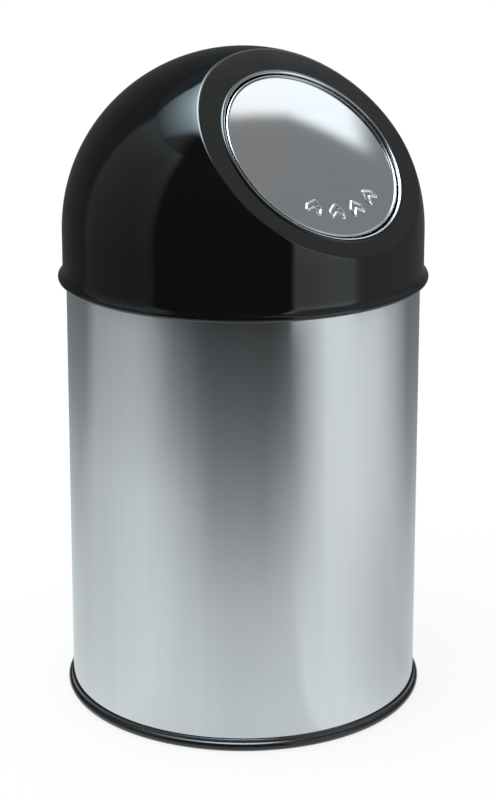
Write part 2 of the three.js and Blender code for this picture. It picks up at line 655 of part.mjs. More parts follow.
function flapPlate() {
  const beadCentre = FLAP_RADIUS - FLAP_BEAD_RADIUS;
  const front = [];
  const back = [];
  for (let i = 0; i <= CROWN_STEPS; i += 1) {
    const r = (CROWN_RADIUS * i) / CROWN_STEPS;
    front.push([r, crown(r)]);
    back.push([r, crown(r) - FLAP_SHEET]);
  }
  const skin = solid(revolve([
    ...front,
    [beadCentre - FLAP_BEAD_RADIUS * 0.7, -FLAP_BEAD_DEPTH + 0.3],
    ...arc(beadCentre, -FLAP_BEAD_DEPTH, FLAP_BEAD_RADIUS, 120, -150, 6),
    ...back.reverse(),
  ]));
  const raised = crownSolid(MARK_RISE, FLAP_GROOVE_DEPTH + FLAP_SHEET + 1).subtract(
    crownSolid(-FLAP_SHEET / 2, FLAP_GROOVE_DEPTH + FLAP_SHEET + 2),
  );
  let shape = skin;
  for (let i = 0; i < MARK_COUNT; i += 1) {
    const turn = radians((i - (MARK_COUNT - 1) / 2) * MARK_STEP);
    const band = mark().translate(0, -MARK_RING_RADIUS, -6).rotateZ(turn);
    shape = shape.add(solid(band).intersect(raised));
  }
  return geometryOf(shape);
}

// How far up the slope each of the strap's rivets is, evenly spaced from the first to the last.
function strapRivetPlaces() {
  const first = HINGE_UP - STRAP_RIVET_FIRST;
  const step = (first - STRAP_END - STRAP_RIVET_LAST) / (STRAP_RIVETS - 1);
  return Array.from({ length: STRAP_RIVETS }, (_, i) => first - i * step);
}

// A flat pan behind the front, with the strap's rivet holes.
function flapBacking() {
  let shape = solid(rod(BACKING_RADIUS, -BACKING_TOP - BACKING_SHEET, -BACKING_TOP, ROUND));
  for (const up of strapRivetPlaces()) {
    const hole = rod(STRAP_RIVET_RADIUS + GAP, -30, 30).translate(0, up + HOLE_DROP, 0);
    shape = shape.subtract(solid(hole));
  }
  return geometryOf(shape);
}

function flapStrap() {
  const half = STRAP_WIDTH / 2;
  const tabEnd = -BUMPER_PLACE - BUMPER_RADIUS - 0.6;
  const forkEnd = HINGE_UP - STRAP_FORK_LENGTH;
  const top = HINGE_UP + STRAP_EAR_RADIUS;
  let shape = solid(block(-half, half, STRAP_END, top, -STRAP_BACK, -STRAP_TOP));
  const tab = block(-STRAP_TAB_WIDTH / 2, STRAP_TAB_WIDTH / 2, tabEnd, STRAP_END + 1, -STRAP_BACK, -STRAP_TOP);
  shape = shape.add(solid(tab));
  const inside = half - STRAP_SHEET;
  shape = shape.subtract(solid(block(-inside, inside, forkEnd, top + 5, -STRAP_BACK - 5, 0)));
  const foot = [[forkEnd - STRAP_EAR_FOOT, -STRAP_TOP], [HINGE_UP + STRAP_EAR_RADIUS, -STRAP_TOP]];
  foot.push([HINGE_UP + STRAP_EAR_RADIUS, -HINGE_DEPTH]);
  const outline = [...foot, ...arc(HINGE_UP, -HINGE_DEPTH, STRAP_EAR_RADIUS, -22.5, -110, 5)];
  outline.push([forkEnd - STRAP_EAR_FOOT, -STRAP_BACK]);
  for (const x of [-half, inside]) {
    shape = shape.add(solid(sidePlate(outline, x, x + STRAP_SHEET)));
  }
  const bore = rod(PIN_HOLE, -60, 60, 24).rotateY(Math.PI / 2).translate(0, HINGE_UP, -HINGE_DEPTH);
  shape = shape.subtract(solid(bore));
  for (const up of strapRivetPlaces()) {
    shape = shape.subtract(solid(rod(STRAP_RIVET_RADIUS + GAP, -30, 30).translate(0, up, 0)));
  }
  shape = shape.subtract(solid(rod(BUMPER_STEM_RADIUS + GAP, -30, 30).translate(0, -BUMPER_PLACE, 0)));
  return geometryOf(shape);
}

function strapRivet() {
  const inner = -BACKING_TOP + GAP;
  const outer = -STRAP_BACK - GAP;
  return revolve([
    [0, inner + STRAP_RIVET_HEAD_HEIGHT],
    [STRAP_RIVET_HEAD_RADIUS * 0.8, inner + STRAP_RIVET_HEAD_HEIGHT],
    [STRAP_RIVET_HEAD_RADIUS * 0.8, inner],
    [STRAP_RIVET_RADIUS, inner],
    [STRAP_RIVET_RADIUS, outer],
    [STRAP_RIVET_HEAD_RADIUS, outer],
    [STRAP_RIVET_HEAD_RADIUS, outer - STRAP_RIVET_HEAD_HEIGHT * 0.4],
    [STRAP_RIVET_HEAD_RADIUS * 0.6, outer - STRAP_RIVET_HEAD_HEIGHT],
    [0, outer - STRAP_RIVET_HEAD_HEIGHT],
  ], SMALL_ROUND);
}

// A rubber button on the strap's tab. It meets the back of the flat face when the flap shuts.
function stopBumper() {
  const face = -DOME_WALL - GAP;
  const seat = -STRAP_TOP + GAP;
  const behind = -STRAP_BACK - GAP;
  return revolve([
    [0, face],
    [BUMPER_RADIUS - 0.5, face],
    [BUMPER_RADIUS, face - 0.5],
    [BUMPER_RADIUS, seat],
    [BUMPER_STEM_RADIUS, seat],
    [BUMPER_STEM_RADIUS, behind],
    [BUMPER_BULB_RADIUS, behind],
    [BUMPER_BULB_RADIUS * 0.5, behind - BUMPER_BULB_HEIGHT],
    [0, behind - BUMPER_BULB_HEIGHT],
  ], SMALL_ROUND);
}

// ---------------------------------------------------------------- hinge, in the flat face's frame
function hingeBracket() {
  const base = block(
    -BRACKET_HALF_WIDTH, BRACKET_HALF_WIDTH, BRACKET_LOW, BRACKET_HIGH, -BRACKET_TOP - BRACKET_SHEET, -BRACKET_TOP,
  );
  const foot = [[BRACKET_LOW, -BRACKET_TOP], [BRACKET_LOW, -BRACKET_ARM_TOP], [HINGE_UP, -BRACKET_ARM_TOP]];
  const outline = [
    ...foot,
    ...arc(HINGE_UP, -HINGE_DEPTH, BRACKET_EAR_RADIUS, 100, 290, 9),
    [BRACKET_HIGH, -BRACKET_TOP - 8],
    [BRACKET_HIGH, -BRACKET_TOP],
  ];
  let shape = solid(base);
  for (const x of [-BRACKET_EAR_OUTSIDE, BRACKET_EAR_INSIDE]) {
    shape = shape.add(solid(sidePlate(outline, x, x + BRACKET_SHEET)));
  }
  const bore = rod(PIN_HOLE, -60, 60, 24).rotateY(Math.PI / 2).translate(0, HINGE_UP, -HINGE_DEPTH);
  shape = shape.subtract(solid(bore));
  for (const x of [-STUD_SPREAD, STUD_SPREAD]) {
    const hole = rod(STUD_RADIUS + GAP, -30, 30).translate(x, (BRACKET_LOW + BRACKET_HIGH) / 2, 0);
    shape = shape.subtract(solid(hole));
  }
  return geometryOf(shape);
}

function hingePin() {
  const head = BRACKET_EAR_OUTSIDE + GAP;
  const groove = BRACKET_EAR_OUTSIDE + GAP;
  const end = BRACKET_EAR_OUTSIDE + PIN_TAIL;
  return revolve([
    [0, -head - PIN_HEAD_LENGTH],
    [PIN_HEAD_RADIUS * 0.8, -head - PIN_HEAD_LENGTH],
    [PIN_HEAD_RADIUS, -head - PIN_HEAD_LENGTH * 0.6],
    [PIN_HEAD_RADIUS, -head],
    [PIN_RADIUS, -head],
    [PIN_RADIUS, groove],
    [PIN_GROOVE_RADIUS, groove],
    [PIN_GROOVE_RADIUS, groove + PIN_GROOVE_WIDTH],
    [PIN_RADIUS, groove + PIN_GROOVE_WIDTH],
    [PIN_RADIUS, end - 0.5],
    [PIN_RADIUS - 0.5, end],
    [0, end],
  ], 24).rotateY(Math.PI / 2).translate(0, HINGE_UP, -HINGE_DEPTH);
}

// An open ring that snaps into the pin's groove.
function pinClip() {
  const low = BRACKET_EAR_OUTSIDE + GAP + (PIN_GROOVE_WIDTH - CLIP_THICKNESS) / 2;
  const ring = solid(rod(CLIP_RADIUS, low, low + CLIP_THICKNESS, 24));
  const bore = solid(rod(PIN_GROOVE_RADIUS + PIN_PLAY, low - 5, low + 5));
  const mouth = solid(block(-PIN_GROOVE_RADIUS * 0.8, PIN_GROOVE_RADIUS * 0.8, -9, 0, low - 5, low + 5));
  const shape = ring.subtract(bore).subtract(mouth);
  return geometryOf(shape).rotateY(Math.PI / 2).translate(0, HINGE_UP, -HINGE_DEPTH);
}

function hingeStud() {
  return rod(STUD_RADIUS, -BRACKET_TOP - STUD_LENGTH, -BRACKET_TOP);
}

function hingeNut() {
  const top = -BRACKET_TOP - BRACKET_SHEET - GAP;
  const hex = solid(rod(NUT_RADIUS, top - NUT_HEIGHT, top, 6));
  return geometryOf(hex.subtract(solid(rod(STUD_RADIUS + GAP, -30, 30))));
}

// The spring's centre line: a leg along the strap, the curls, and a leg under the bracket.
function springPoints() {
  const half = (SPRING_CURLS * SPRING_PITCH) / 2;
  const legDepth = -HINGE_DEPTH + SPRING_RADIUS;
  const seatDepth = -BRACKET_TOP - BRACKET_SHEET - GAP - SPRING_WIRE_RADIUS;
  const points = [new THREE.Vector3(-half, HINGE_UP - SPRING_FLAP_LEG, legDepth)];
  points.push(new THREE.Vector3(-half, HINGE_UP - 2 * SPRING_WIRE_RADIUS, legDepth));
  const steps = SPRING_CURLS * SPRING_STEPS;
  for (let i = 0; i <= steps; i += 1) {
    const angle = (2 * Math.PI * i) / SPRING_STEPS;
    points.push(new THREE.Vector3(
      -half + (SPRING_PITCH * i) / SPRING_STEPS,
      HINGE_UP + SPRING_RADIUS * Math.sin(angle),
      -HINGE_DEPTH + SPRING_RADIUS * Math.cos(angle),
    ));
  }
  points.push(new THREE.Vector3(half, HINGE_UP + 2 * SPRING_WIRE_RADIUS, legDepth));
  points.push(new THREE.Vector3(half, HINGE_UP + SPRING_LID_LEG, seatDepth));
  return points;
}

// The least clear distance between two stretches of the wire that are over half a curl apart.
function springGap(points) {
  let least = Infinity;
  for (let i = 0; i < points.length; i += 1) {
    for (let j = i + SPRING_STEPS / 2 + 1; j < points.length; j += 1) {
      least = Math.min(least, points[i].distanceTo(points[j]) - 2 * SPRING_WIRE_RADIUS);
    }
  }
  return least;
}

// ---------------------------------------------------------------- assembly
const bin = new THREE.Group();
const bucketGroup = new THREE.Group();
const lid = new THREE.Group();
const face = new THREE.Group();
const flap = new THREE.Group();
face.applyMatrix4(faceMatrix());
flap.position.set(0, -HOLE_DROP, 0);
bin.add(bucketGroup, lid);
lid.add(face);
face.add(flap);

piece(bin, "body_shell", bodyShell(), STEEL);
piece(bin, "base_ring", baseRing(), BLACK_PLASTIC);
piece(bin, "bottom_plate", bottomPlate(), GALVANISED);
baseScrewPlaces().forEach(([x, y], i) => {
  piece(bin, `base_screw_${i + 1}`, baseScrew(), ZINC).position.set(x, y, 0);
});

piece(bucketGroup, "liner_bucket", bucket(), GALVANISED);
piece(bucketGroup, "bail_ear_right", ear(), ZINC);
piece(bucketGroup, "bail_ear_left", ear(), ZINC).rotation.z = Math.PI;
rivetPlaces().forEach(([x, y], i) => {
  const one = piece(bucketGroup, `ear_rivet_${i + 1}`, rivet(), ZINC);
  one.position.set(0, y, rivetZ);
  one.rotation.z = x > 0 ? 0 : Math.PI;
});
piece(bucketGroup, "bail_handle", bail(), ZINC).position.z = BAIL_Z;

piece(lid, "dome_shell", domeShell(), BLACK_ENAMEL);
piece(lid, "lid_seat_ring", seatRing(), BLACK_ENAMEL);

piece(face, "hinge_bracket", hingeBracket(), ZINC);
piece(face, "hinge_pin", hingePin(), ZINC);
piece(face, "pin_clip", pinClip(), SPRING_STEEL);
[["left", -STUD_SPREAD], ["right", STUD_SPREAD]].forEach(([side, x]) => {
  const y = (BRACKET_LOW + BRACKET_HIGH) / 2;
  piece(face, `hinge_stud_${side}`, hingeStud(), ZINC).position.set(x, y, 0);
  piece(face, `hinge_nut_${side}`, hingeNut(), ZINC).position.set(x, y, 0);
});
const spring = springPoints();
console.log(`spring: least gap to itself ${springGap(spring).toFixed(2)} mm`);
piece(face, "flap_spring", wire(spring, SPRING_WIRE_RADIUS, SPRING_SIDES), SPRING_STEEL);

piece(flap, "flap_plate", flapPlate(), BRIGHT_STEEL);
piece(flap, "flap_backing", flapBacking(), GALVANISED);
piece(face, "flap_strap", flapStrap(), ZINC);
strapRivetPlaces().forEach((up, i) => {
  piece(face, `strap_rivet_${i + 1}`, strapRivet(), ZINC).position.set(0, up, 0);
});
piece(face, "stop_bumper", stopBumper(), RUBBER).position.set(0, -BUMPER_PLACE, 0);

export default bin;
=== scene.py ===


# %% [markdown]
# # A dome top waste bin
# The bin is a steel drum on a black base ring. A black enamelled dome sits on the drum's rim, and a round
# steel flap swings inwards from a flat face cut across the dome. Inside stands a lift-out bucket with a wire
# bail. The measured model of all of it is already there as the fixed frame. Each cell below makes one piece
# again with fine curves, and gives it the finish that the real one has.

# %% Load the fixed frame
import math

import bmesh
import bpy
from mathutils import Matrix, Vector


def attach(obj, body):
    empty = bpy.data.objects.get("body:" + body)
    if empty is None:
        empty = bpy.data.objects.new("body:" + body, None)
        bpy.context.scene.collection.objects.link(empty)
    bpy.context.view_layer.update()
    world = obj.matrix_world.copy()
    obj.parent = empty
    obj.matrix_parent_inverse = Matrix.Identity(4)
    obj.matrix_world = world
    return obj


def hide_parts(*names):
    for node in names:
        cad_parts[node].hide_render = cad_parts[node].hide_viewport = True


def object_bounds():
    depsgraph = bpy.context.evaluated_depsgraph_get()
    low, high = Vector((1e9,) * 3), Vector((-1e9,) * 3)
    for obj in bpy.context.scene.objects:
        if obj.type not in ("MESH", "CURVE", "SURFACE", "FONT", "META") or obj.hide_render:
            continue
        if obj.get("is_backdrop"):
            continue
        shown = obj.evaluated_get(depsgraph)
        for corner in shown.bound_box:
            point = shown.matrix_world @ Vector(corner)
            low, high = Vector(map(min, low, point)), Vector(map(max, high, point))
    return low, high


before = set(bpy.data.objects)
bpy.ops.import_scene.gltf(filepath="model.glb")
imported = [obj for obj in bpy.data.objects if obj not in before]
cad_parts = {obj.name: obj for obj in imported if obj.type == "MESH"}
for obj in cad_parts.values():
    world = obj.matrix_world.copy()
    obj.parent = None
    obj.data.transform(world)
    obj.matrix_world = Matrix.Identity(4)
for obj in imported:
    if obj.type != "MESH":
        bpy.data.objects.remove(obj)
frame_box = [list(corner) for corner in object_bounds()]
scene = bpy.context.scene
print("nodes in the frame:", len(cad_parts))

# %% [markdown]
# ## The camera
# The eye stands a little above the lid and to its left, so that the slanted face turns to the right. A long
# lens keeps the drum's sides nearly parallel. The picture was taken with the camera shifted, which is why the
# lens looks less far down than the aim alone would give. The shift moves the frame without turning the view.

# %% Place the camera
AIM = Vector((0.0, 0.0, 0.3818))
DISTANCE = 1.790
LOOK_DOWN = math.radians(13.475)
LOOK_FROM = math.radians(42.2)
LENS = 94.94
SHIFT = (0.006, -0.18)

looking = Vector((
    math.sin(LOOK_FROM) * math.cos(LOOK_DOWN),
    math.cos(LOOK_FROM) * math.cos(LOOK_DOWN),
    -math.sin(LOOK_DOWN),
))
camera = bpy.data.objects.new("camera", bpy.data.cameras.new("camera"))
scene.collection.objects.link(camera)
camera.location = AIM - looking * DISTANCE
camera.rotation_euler = looking.to_track_quat("-Z", "Y").to_euler()
camera.data.lens = LENS
camera.data.shift_x, camera.data.shift_y = SHIFT
scene.camera = camera
print("the camera is", round(camera.location.z, 3), "m above the floor")

# %% [markdown]
# ## Turning a profile
# Nearly every piece of the bin is round, because it is spun, rolled or pressed. A spun piece is a flat
# profile turned about an axis, so one helper does most of the work: it places a ring of points for each
# point of the profile and joins the rings by faces. A modifier such as Screw could do the same, but a mesh
# made in code can have its poles closed and its sharp edges marked in the same step. All sizes are written in
# millimetres, as a maker would, and brought to metres at the end.

# %% Helpers that turn a profile into a piece
MM = 0.001
POLE = 0.001
SHARP_FROM = 32


def bend(radius_at, height_at, radius, start, stop, steps):
    """Points of a profile along an arc, with angles in degrees from the outward radius towards the top."""
    points = []
    for i in range(steps + 1):
        angle = math.radians(start + (stop - start) * i / steps)
        points.append((radius_at + radius * math.cos(angle), height_at + radius * math.sin(angle)))
    return points


def skin(mesh, ring, following):
    """Join two closed rings of points by faces. A ring of one point is a pole."""
    count = max(len(ring), len(following))
    for i in range(count):
        j = (i + 1) % count
        corners = [ring[i % len(ring)], ring[j % len(ring)]]
        corners += [following[j % len(following)], following[i % len(following)]]
        corners = list(dict.fromkeys(corners))
        if len(corners) > 2:
            mesh.faces.new(corners)


def turn(mesh, profile, sides, closed=True):
    """Turn a profile of (radius, height) points about the Z axis. A closed one is joined end to end.

    A point that is closer to the axis than POLE stays a single point.
    """
    rings = []
    for radius, height in profile:
        if radius < POLE:
            rings.append([mesh.verts.new((0, 0, height))])
            continue
        ring = []
        for i in range(sides):
            angle = 2 * math.pi * i / sides
            ring.append(mesh.verts.new((radius * math.cos(angle), radius * math.sin(angle), height)))
        rings.append(ring)
    next_rings = rings[1:] + rings[:1] if closed else rings[1:]
    for ring, following in zip(rings, next_rings):
        skin(mesh, ring, following)


# %% Helpers that make a mesh an object
def finish_piece(name, mesh, place=None, crease=SHARP_FROM):
    """Turn a mesh drawn in millimetres into an object in metres, smooth except at its creases."""
    bmesh.ops.recalc_face_normals(mesh, faces=mesh.faces)
    if place is not None:
        bmesh.ops.transform(mesh, matrix=place, verts=mesh.verts)
    bmesh.ops.scale(mesh, vec=(MM, MM, MM), verts=mesh.verts)
    data = bpy.data.meshes.new(name)
    mesh.to_mesh(data)
    mesh.free()
    data.shade_smooth()
    data.set_sharp_from_angle(angle=math.radians(crease))
    piece = bpy.data.objects.new(name, data)
    scene.collection.objects.link(piece)
    print(f"{name}: {len(data.polygons)} faces")
    return piece


def turned(name, profile, sides=192, place=None, crease=SHARP_FROM):
    """A piece made by turning one closed profile."""
    mesh = bmesh.new()
    turn(mesh, profile, sides)
    return finish_piece(name, mesh, place, crease)


# %% Helpers that put a piece in the frame
def settle(piece, body, slot, finish, *nodes):
    """Let a piece ride on its body, take its finish, and stand for the frame's own nodes."""
    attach(piece, body)
    if nodes:
        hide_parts(*nodes)
    piece.data.materials.clear()
    piece.data.materials.append(finish)


def dress(node_name, finish):
    """Give a node of the frame that stays in view its finish."""
    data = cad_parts[node_name].data
    data.materials.clear()
    data.materials.append(finish)
    print(f"{node_name}: wears {finish.name}")

# %% [markdown]
# ## Building a finish
# A finish is a small network of nodes. To keep each one readable, one helper adds a node and either sets or
# links its inputs in the same line. Every finish below ends in a single Principled shader: the network only
# says how its colour, roughness and height change from place to place.

# %% Helpers that build a finish
def add(tree, kind, inputs=None, **settings):
    """Add a node. An input takes either a plain value or the socket that feeds it."""
    made = tree.nodes.new(kind)
    for key, value in settings.items():
        setattr(made, key, value)
    for key, value in (inputs or {}).items():
        if isinstance(value, bpy.types.NodeSocket):
            tree.links.new(value, made.inputs[key])
        else:
            made.inputs[key].default_value = value
    return made


def maths(tree, operation, first, second=0.0, clamp=False):
    """One sum on numbers or sockets."""
    inputs = {0: first} if operation == "SQRT" else {0: first, 1: second}
    return add(tree, "ShaderNodeMath", inputs, operation=operation, use_clamp=clamp).outputs[0]


def product(tree, first, *others):
    """Several numbers multiplied together."""
    for other in others:
        first = maths(tree, "MULTIPLY", first, other)
    return first


def spread(tree, value, low, high, to_low, to_high, smooth=False):
    """Map one range of values to another."""
    kind = "SMOOTHSTEP" if smooth else "LINEAR"
    ranges = {"Value": value, "From Min": low, "From Max": high, "To Min": to_low, "To Max": to_high}
    return add(tree, "ShaderNodeMapRange", ranges, interpolation_type=kind).outputs["Result"]


def blend_colours(tree, amount, first, second):
    """Mix two colours by a mask."""
    made = add(tree, "ShaderNodeMix", data_type="RGBA")
    for socket, value in zip((made.inputs[0], made.inputs[6], made.inputs[7]), (amount, first, second)):
        if isinstance(value, bpy.types.NodeSocket):
            tree.links.new(value, socket)
        else:
            socket.default_value = value
    return made.outputs[2]


# %% Helpers that begin and complete a finish
def new_finish(name, **plain):
    """A material with one Principled shader, whose even values are set on its own sockets."""
    finish = bpy.data.materials.new(name)
    finish.use_nodes = True
    tree = finish.node_tree
    tree.nodes.clear()
    shader = tree.nodes.new("ShaderNodeBsdfPrincipled")
    output = tree.nodes.new("ShaderNodeOutputMaterial")
    tree.links.new(shader.outputs["BSDF"], output.inputs["Surface"])
    for key, value in plain.items():
        shader.inputs[key.replace("_", " ")].default_value = value
    return finish, tree, shader


def complete(finish, shader, colour, roughness, height, strength, depth):
    """Lead a finish's colour, roughness and relief to its shader. The depth is in millimetres."""
    tree = finish.node_tree
    relief = add(tree, "ShaderNodeBump", {"Height": height, "Strength": strength, "Distance": depth * MM})
    tree.links.new(colour, shader.inputs["Base Color"])
    tree.links.new(roughness, shader.inputs["Roughness"])
    tree.links.new(relief.outputs["Normal"], shader.inputs["Normal"])
    print("finish:", finish.name)

# %% Helpers that build and place a node group
def new_group(name, inputs, outputs):
    """A shader node group. Each named input has a kind and a usual value, and each output is a number."""
    tree = bpy.data.node_groups.new(name, "ShaderNodeTree")
    for key, (kind, value) in inputs.items():
        socket = tree.interface.new_socket(name=key, in_out="INPUT", socket_type=kind)
        socket.default_value = value
    for key in outputs:
        tree.interface.new_socket(name=key, in_out="OUTPUT", socket_type="NodeSocketFloat")
    return tree, tree.nodes.new("NodeGroupInput").outputs, tree.nodes.new("NodeGroupOutput").inputs


def use_group(tree, group, **values):
    """Place a group in a material with its own values."""
    made = tree.nodes.new("ShaderNodeGroup")
    made.node_tree = group
    for key, value in values.items():
        made.inputs[key.replace("_", " ")].default_value = value
    return made.outputs


# %% Helpers for places and patterns
NOISE_RANGE = (0.3, 0.7)


def where_on(tree):
    """The place of a point on its own piece, in metres."""
    return add(tree, "ShaderNodeTexCoord").outputs["Object"]


def height_on(tree):
    """The height of a point above the floor, in metres."""
    return add(tree, "ShaderNodeSeparateXYZ", {0: where_on(tree)}).outputs["Z"]


def vector_maths(tree, operation, first, second=None):
    """One sum on vectors. A length or a dot product comes out as a number."""
    inputs = {0: first} if second is None else {0: first, 1: second}
    made = add(tree, "ShaderNodeVectorMath", inputs, operation=operation)
    return made.outputs["Value" if operation in ("LENGTH", "DOT_PRODUCT") else "Vector"]


def noise(tree, where, scale, detail):
    """Soft noise at a place. Its first output is a number, and its second is a colour."""
    return add(tree, "ShaderNodeTexNoise", {"Vector": where, "Scale": scale, "Detail": detail}).outputs


def wander(tree, where, scale, detail, reach):
    """A place moved about by soft noise, so that a pattern drawn there gets bent borders."""
    colour = noise(tree, where, scale, detail)["Color"]
    return vector_maths(tree, "ADD", where, vector_maths(tree, "MULTIPLY", colour, (reach, reach, reach)))


def follow(tree, pattern, least, most):
    """A number that follows a noise pattern, most of which lies within the noise range."""
    return spread(tree, pattern, *NOISE_RANGE, least, most)


# %% [markdown]
# ## Effects that several finishes share
# Rolled, brushed and drawn metal all carry fine lines in one direction. Hands and cloths leave broad, weak
# smudges on everything. Dust settles on what faces up. Each of these is built once as a node group and then
# placed in many finishes with other values, so that the whole bin looks as if it stood in one room.

# %% The grain group
grain_group, given, result = new_group(
    "grain lines",
    {
        "Stretch": ("NodeSocketVector", (1500.0, 1500.0, 20.0)),
        "Broad Stretch": ("NodeSocketVector", (90.0, 90.0, 3.0)),
    },
    ["Fine", "Broad"],
)
where = where_on(grain_group)
for output_name, stretch in (("Fine", "Stretch"), ("Broad", "Broad Stretch")):
    stretched = vector_maths(grain_group, "MULTIPLY", where, given[stretch])
    lines = noise(grain_group, stretched, scale=1.0, detail=4.0)
    grain_group.links.new(lines[0], result[output_name])
print("group:", grain_group.name)

# %% The smudge group
SMUDGE_LEVEL = 0.52
smudge_group, given, result = new_group(
    "smudges",
    {"Size": ("NodeSocketFloat", 12.0), "Sharpness": ("NodeSocketFloat", 0.12)},
    ["Mask"],
)
moved = wander(smudge_group, where_on(smudge_group), scale=7.0, detail=2.0, reach=0.12)
cloud = noise(smudge_group, moved, given["Size"], detail=5.0)[0]
low = maths(smudge_group, "SUBTRACT", SMUDGE_LEVEL, given["Sharpness"])
high = maths(smudge_group, "ADD", SMUDGE_LEVEL, given["Sharpness"])
mask = spread(smudge_group, cloud, low, high, 0.0, 1.0, smooth=True)
smudge_group.links.new(mask, result["Mask"])
print("group:", smudge_group.name)

# %% The dust group
CLEAN_SHARE = 0.965
dust_group, given, result = new_group(
    "settled dust",
    {"Amount": ("NodeSocketFloat", 0.3), "Speck Scale": ("NodeSocketFloat", 900.0)},
    ["Film", "Specks"],
)
where = where_on(dust_group)
normal = add(dust_group, "ShaderNodeNewGeometry").outputs["Normal"]
faces_up = add(dust_group, "ShaderNodeSeparateXYZ", {0: normal}).outputs["Z"]
upward = spread(dust_group, faces_up, 0.2, 1.0, 0.0, 1.0, smooth=True)
drift = spread(dust_group, noise(dust_group, where, scale=30.0, detail=6.0)[0], 0.4, 0.7, 0.2, 1.0)
dust_group.links.new(product(dust_group, upward, drift, given["Amount"]), result["Film"])
dots = add(dust_group, "ShaderNodeTexVoronoi", {"Vector": where, "Scale": given["Speck Scale"]}).outputs
speck = spread(dust_group, dots["Distance"], 0.05, 0.12, 1.0, 0.0)
chance = add(dust_group, "ShaderNodeSeparateColor", {0: dots["Color"]}).outputs[0]
chosen = maths(dust_group, "GREATER_THAN", chance, CLEAN_SHARE)
dust_group.links.new(product(dust_group, speck, chosen, given["Amount"]), result["Specks"])
print("group:", dust_group.name)

# %% The crystal group of galvanised sheet
spangle_group, given, result = new_group(
    "zinc crystals",
    {"Scale": ("NodeSocketFloat", 130.0)},
    ["Tone", "Edge"],
)
moved = wander(spangle_group, where_on(spangle_group), scale=160.0, detail=3.0, reach=0.006)
crystals = add(spangle_group, "ShaderNodeTexVoronoi", {"Vector": moved, "Scale": given["Scale"]}).outputs
tones = add(spangle_group, "ShaderNodeSeparateColor", {0: crystals["Color"]}).outputs
spangle_group.links.new(tones[0], result["Tone"])
spangle_group.links.new(crystals["Distance"], result["Edge"])
print("group:", spangle_group.name)

# %% [markdown]
# ## The drum's finish
# The drum is rolled from bright stainless sheet with a fine vertical grain, polished enough to mirror the
# room softly. Metal has no colour of its own apart from its reflections, so the work is in the roughness: the
# grain and the smudges change it by a few hundredths, and a very shallow bump breaks the mirror into fine
# upright lines. The colour is a cool light grey.

# %% Drum steel
STEEL_DEEP = (0.590, 0.612, 0.630, 1)
STEEL_PALE = (0.650, 0.668, 0.682, 1)

drum_steel, tree, shader = new_finish("drum steel", Metallic=1.0)
grain = use_group(tree, grain_group, Stretch=(1400.0, 1400.0, 14.0), Broad_Stretch=(70.0, 70.0, 2.0))
smudge = use_group(tree, smudge_group, Size=9.0, Sharpness=0.16)
tone = blend_colours(tree, grain["Broad"], STEEL_DEEP, STEEL_PALE)
rough = follow(tree, grain["Fine"], 0.085, 0.125)
rough = maths(tree, "ADD", rough, spread(tree, smudge["Mask"], 0.0, 1.0, 0.0, 0.03))
complete(drum_steel, shader, tone, rough, grain["Fine"], strength=0.12, depth=0.04)

# %% [markdown]
# ## The drum
# One sheet is rolled into a tube 300 mm across, its two ends lapped and welded at the back, and its upper
# edge curled inwards so that it is stiff and safe to touch. The tube is a turned profile. The lap is a
# separate low strip, swept up the back of the tube, because a turned profile can't have it.

# %% Make the drum and its lap
DRUM_RADIUS = 150.0
DRUM_INSIDE = 149.2
DRUM_FOOT = 4.0
DRUM_SIDES = 256
CURL = 3.0
CURL_HEIGHT = 382.0
LAP_FOOT = 11.3
LAP_HEAD = 373.3
LAP_RAMP = 0.4
LAP_INSET = 0.25
LAP_UNDER = -0.3

drum_profile = [(DRUM_INSIDE, DRUM_FOOT), (DRUM_RADIUS, DRUM_FOOT)]
drum_profile += [(DRUM_RADIUS, height) for height in (80.0, 160.0, 240.0, 320.0, 374.0, 381.0)]
drum_profile += bend(DRUM_RADIUS - CURL, CURL_HEIGHT, CURL, 0, 270, 18)
drum_profile += [(DRUM_INSIDE, 379.0)]

drum_mesh = bmesh.new()
turn(drum_mesh, drum_profile, DRUM_SIDES)
lap_half = [(3.8, 0.5), (4.25, 0.38), (4.5, 0.15), (4.5, LAP_UNDER)]
lap_section = [(-aside, rise) for aside, rise in reversed(lap_half)] + lap_half
lap_rings = []
for height in (LAP_FOOT, LAP_FOOT + LAP_RAMP, LAP_HEAD - LAP_RAMP, LAP_HEAD):
    inset = LAP_INSET if height in (LAP_FOOT, LAP_HEAD) else 0.0
    ring = []
    for aside, rise in lap_section:
        reach = DRUM_RADIUS + max(rise - inset, LAP_UNDER)
        angle = math.pi / 2 - aside / DRUM_RADIUS
        ring.append(drum_mesh.verts.new((reach * math.cos(angle), reach * math.sin(angle), height)))
    lap_rings.append(ring)
for ring, following in zip(lap_rings, lap_rings[1:]):
    skin(drum_mesh, ring, following)
drum_mesh.faces.new(lap_rings[0])
drum_mesh.faces.new(lap_rings[-1])
drum = finish_piece("drum_and_lap", drum_mesh)
settle(drum, "bin", "drum_steel", drum_steel, "body_shell")

# %% [markdown]
# ## The base ring and its plastic
# A moulded ring is pressed on to the drum's lower edge. It stands out a few millimetres, so it takes the
# knocks of shoes and brooms. It is black and glossy, with a rounded ridge that catches a thin line of light.
# Its finish is a dark plastic whose gloss is broken by fine scuffs, more of them near the floor.

# %% Base plastic
PLASTIC_BLACK = (0.0065, 0.0065, 0.007, 1)
PLASTIC_DUSTY = (0.05, 0.048, 0.045, 1)
SCUFFED_UP_TO = 0.006

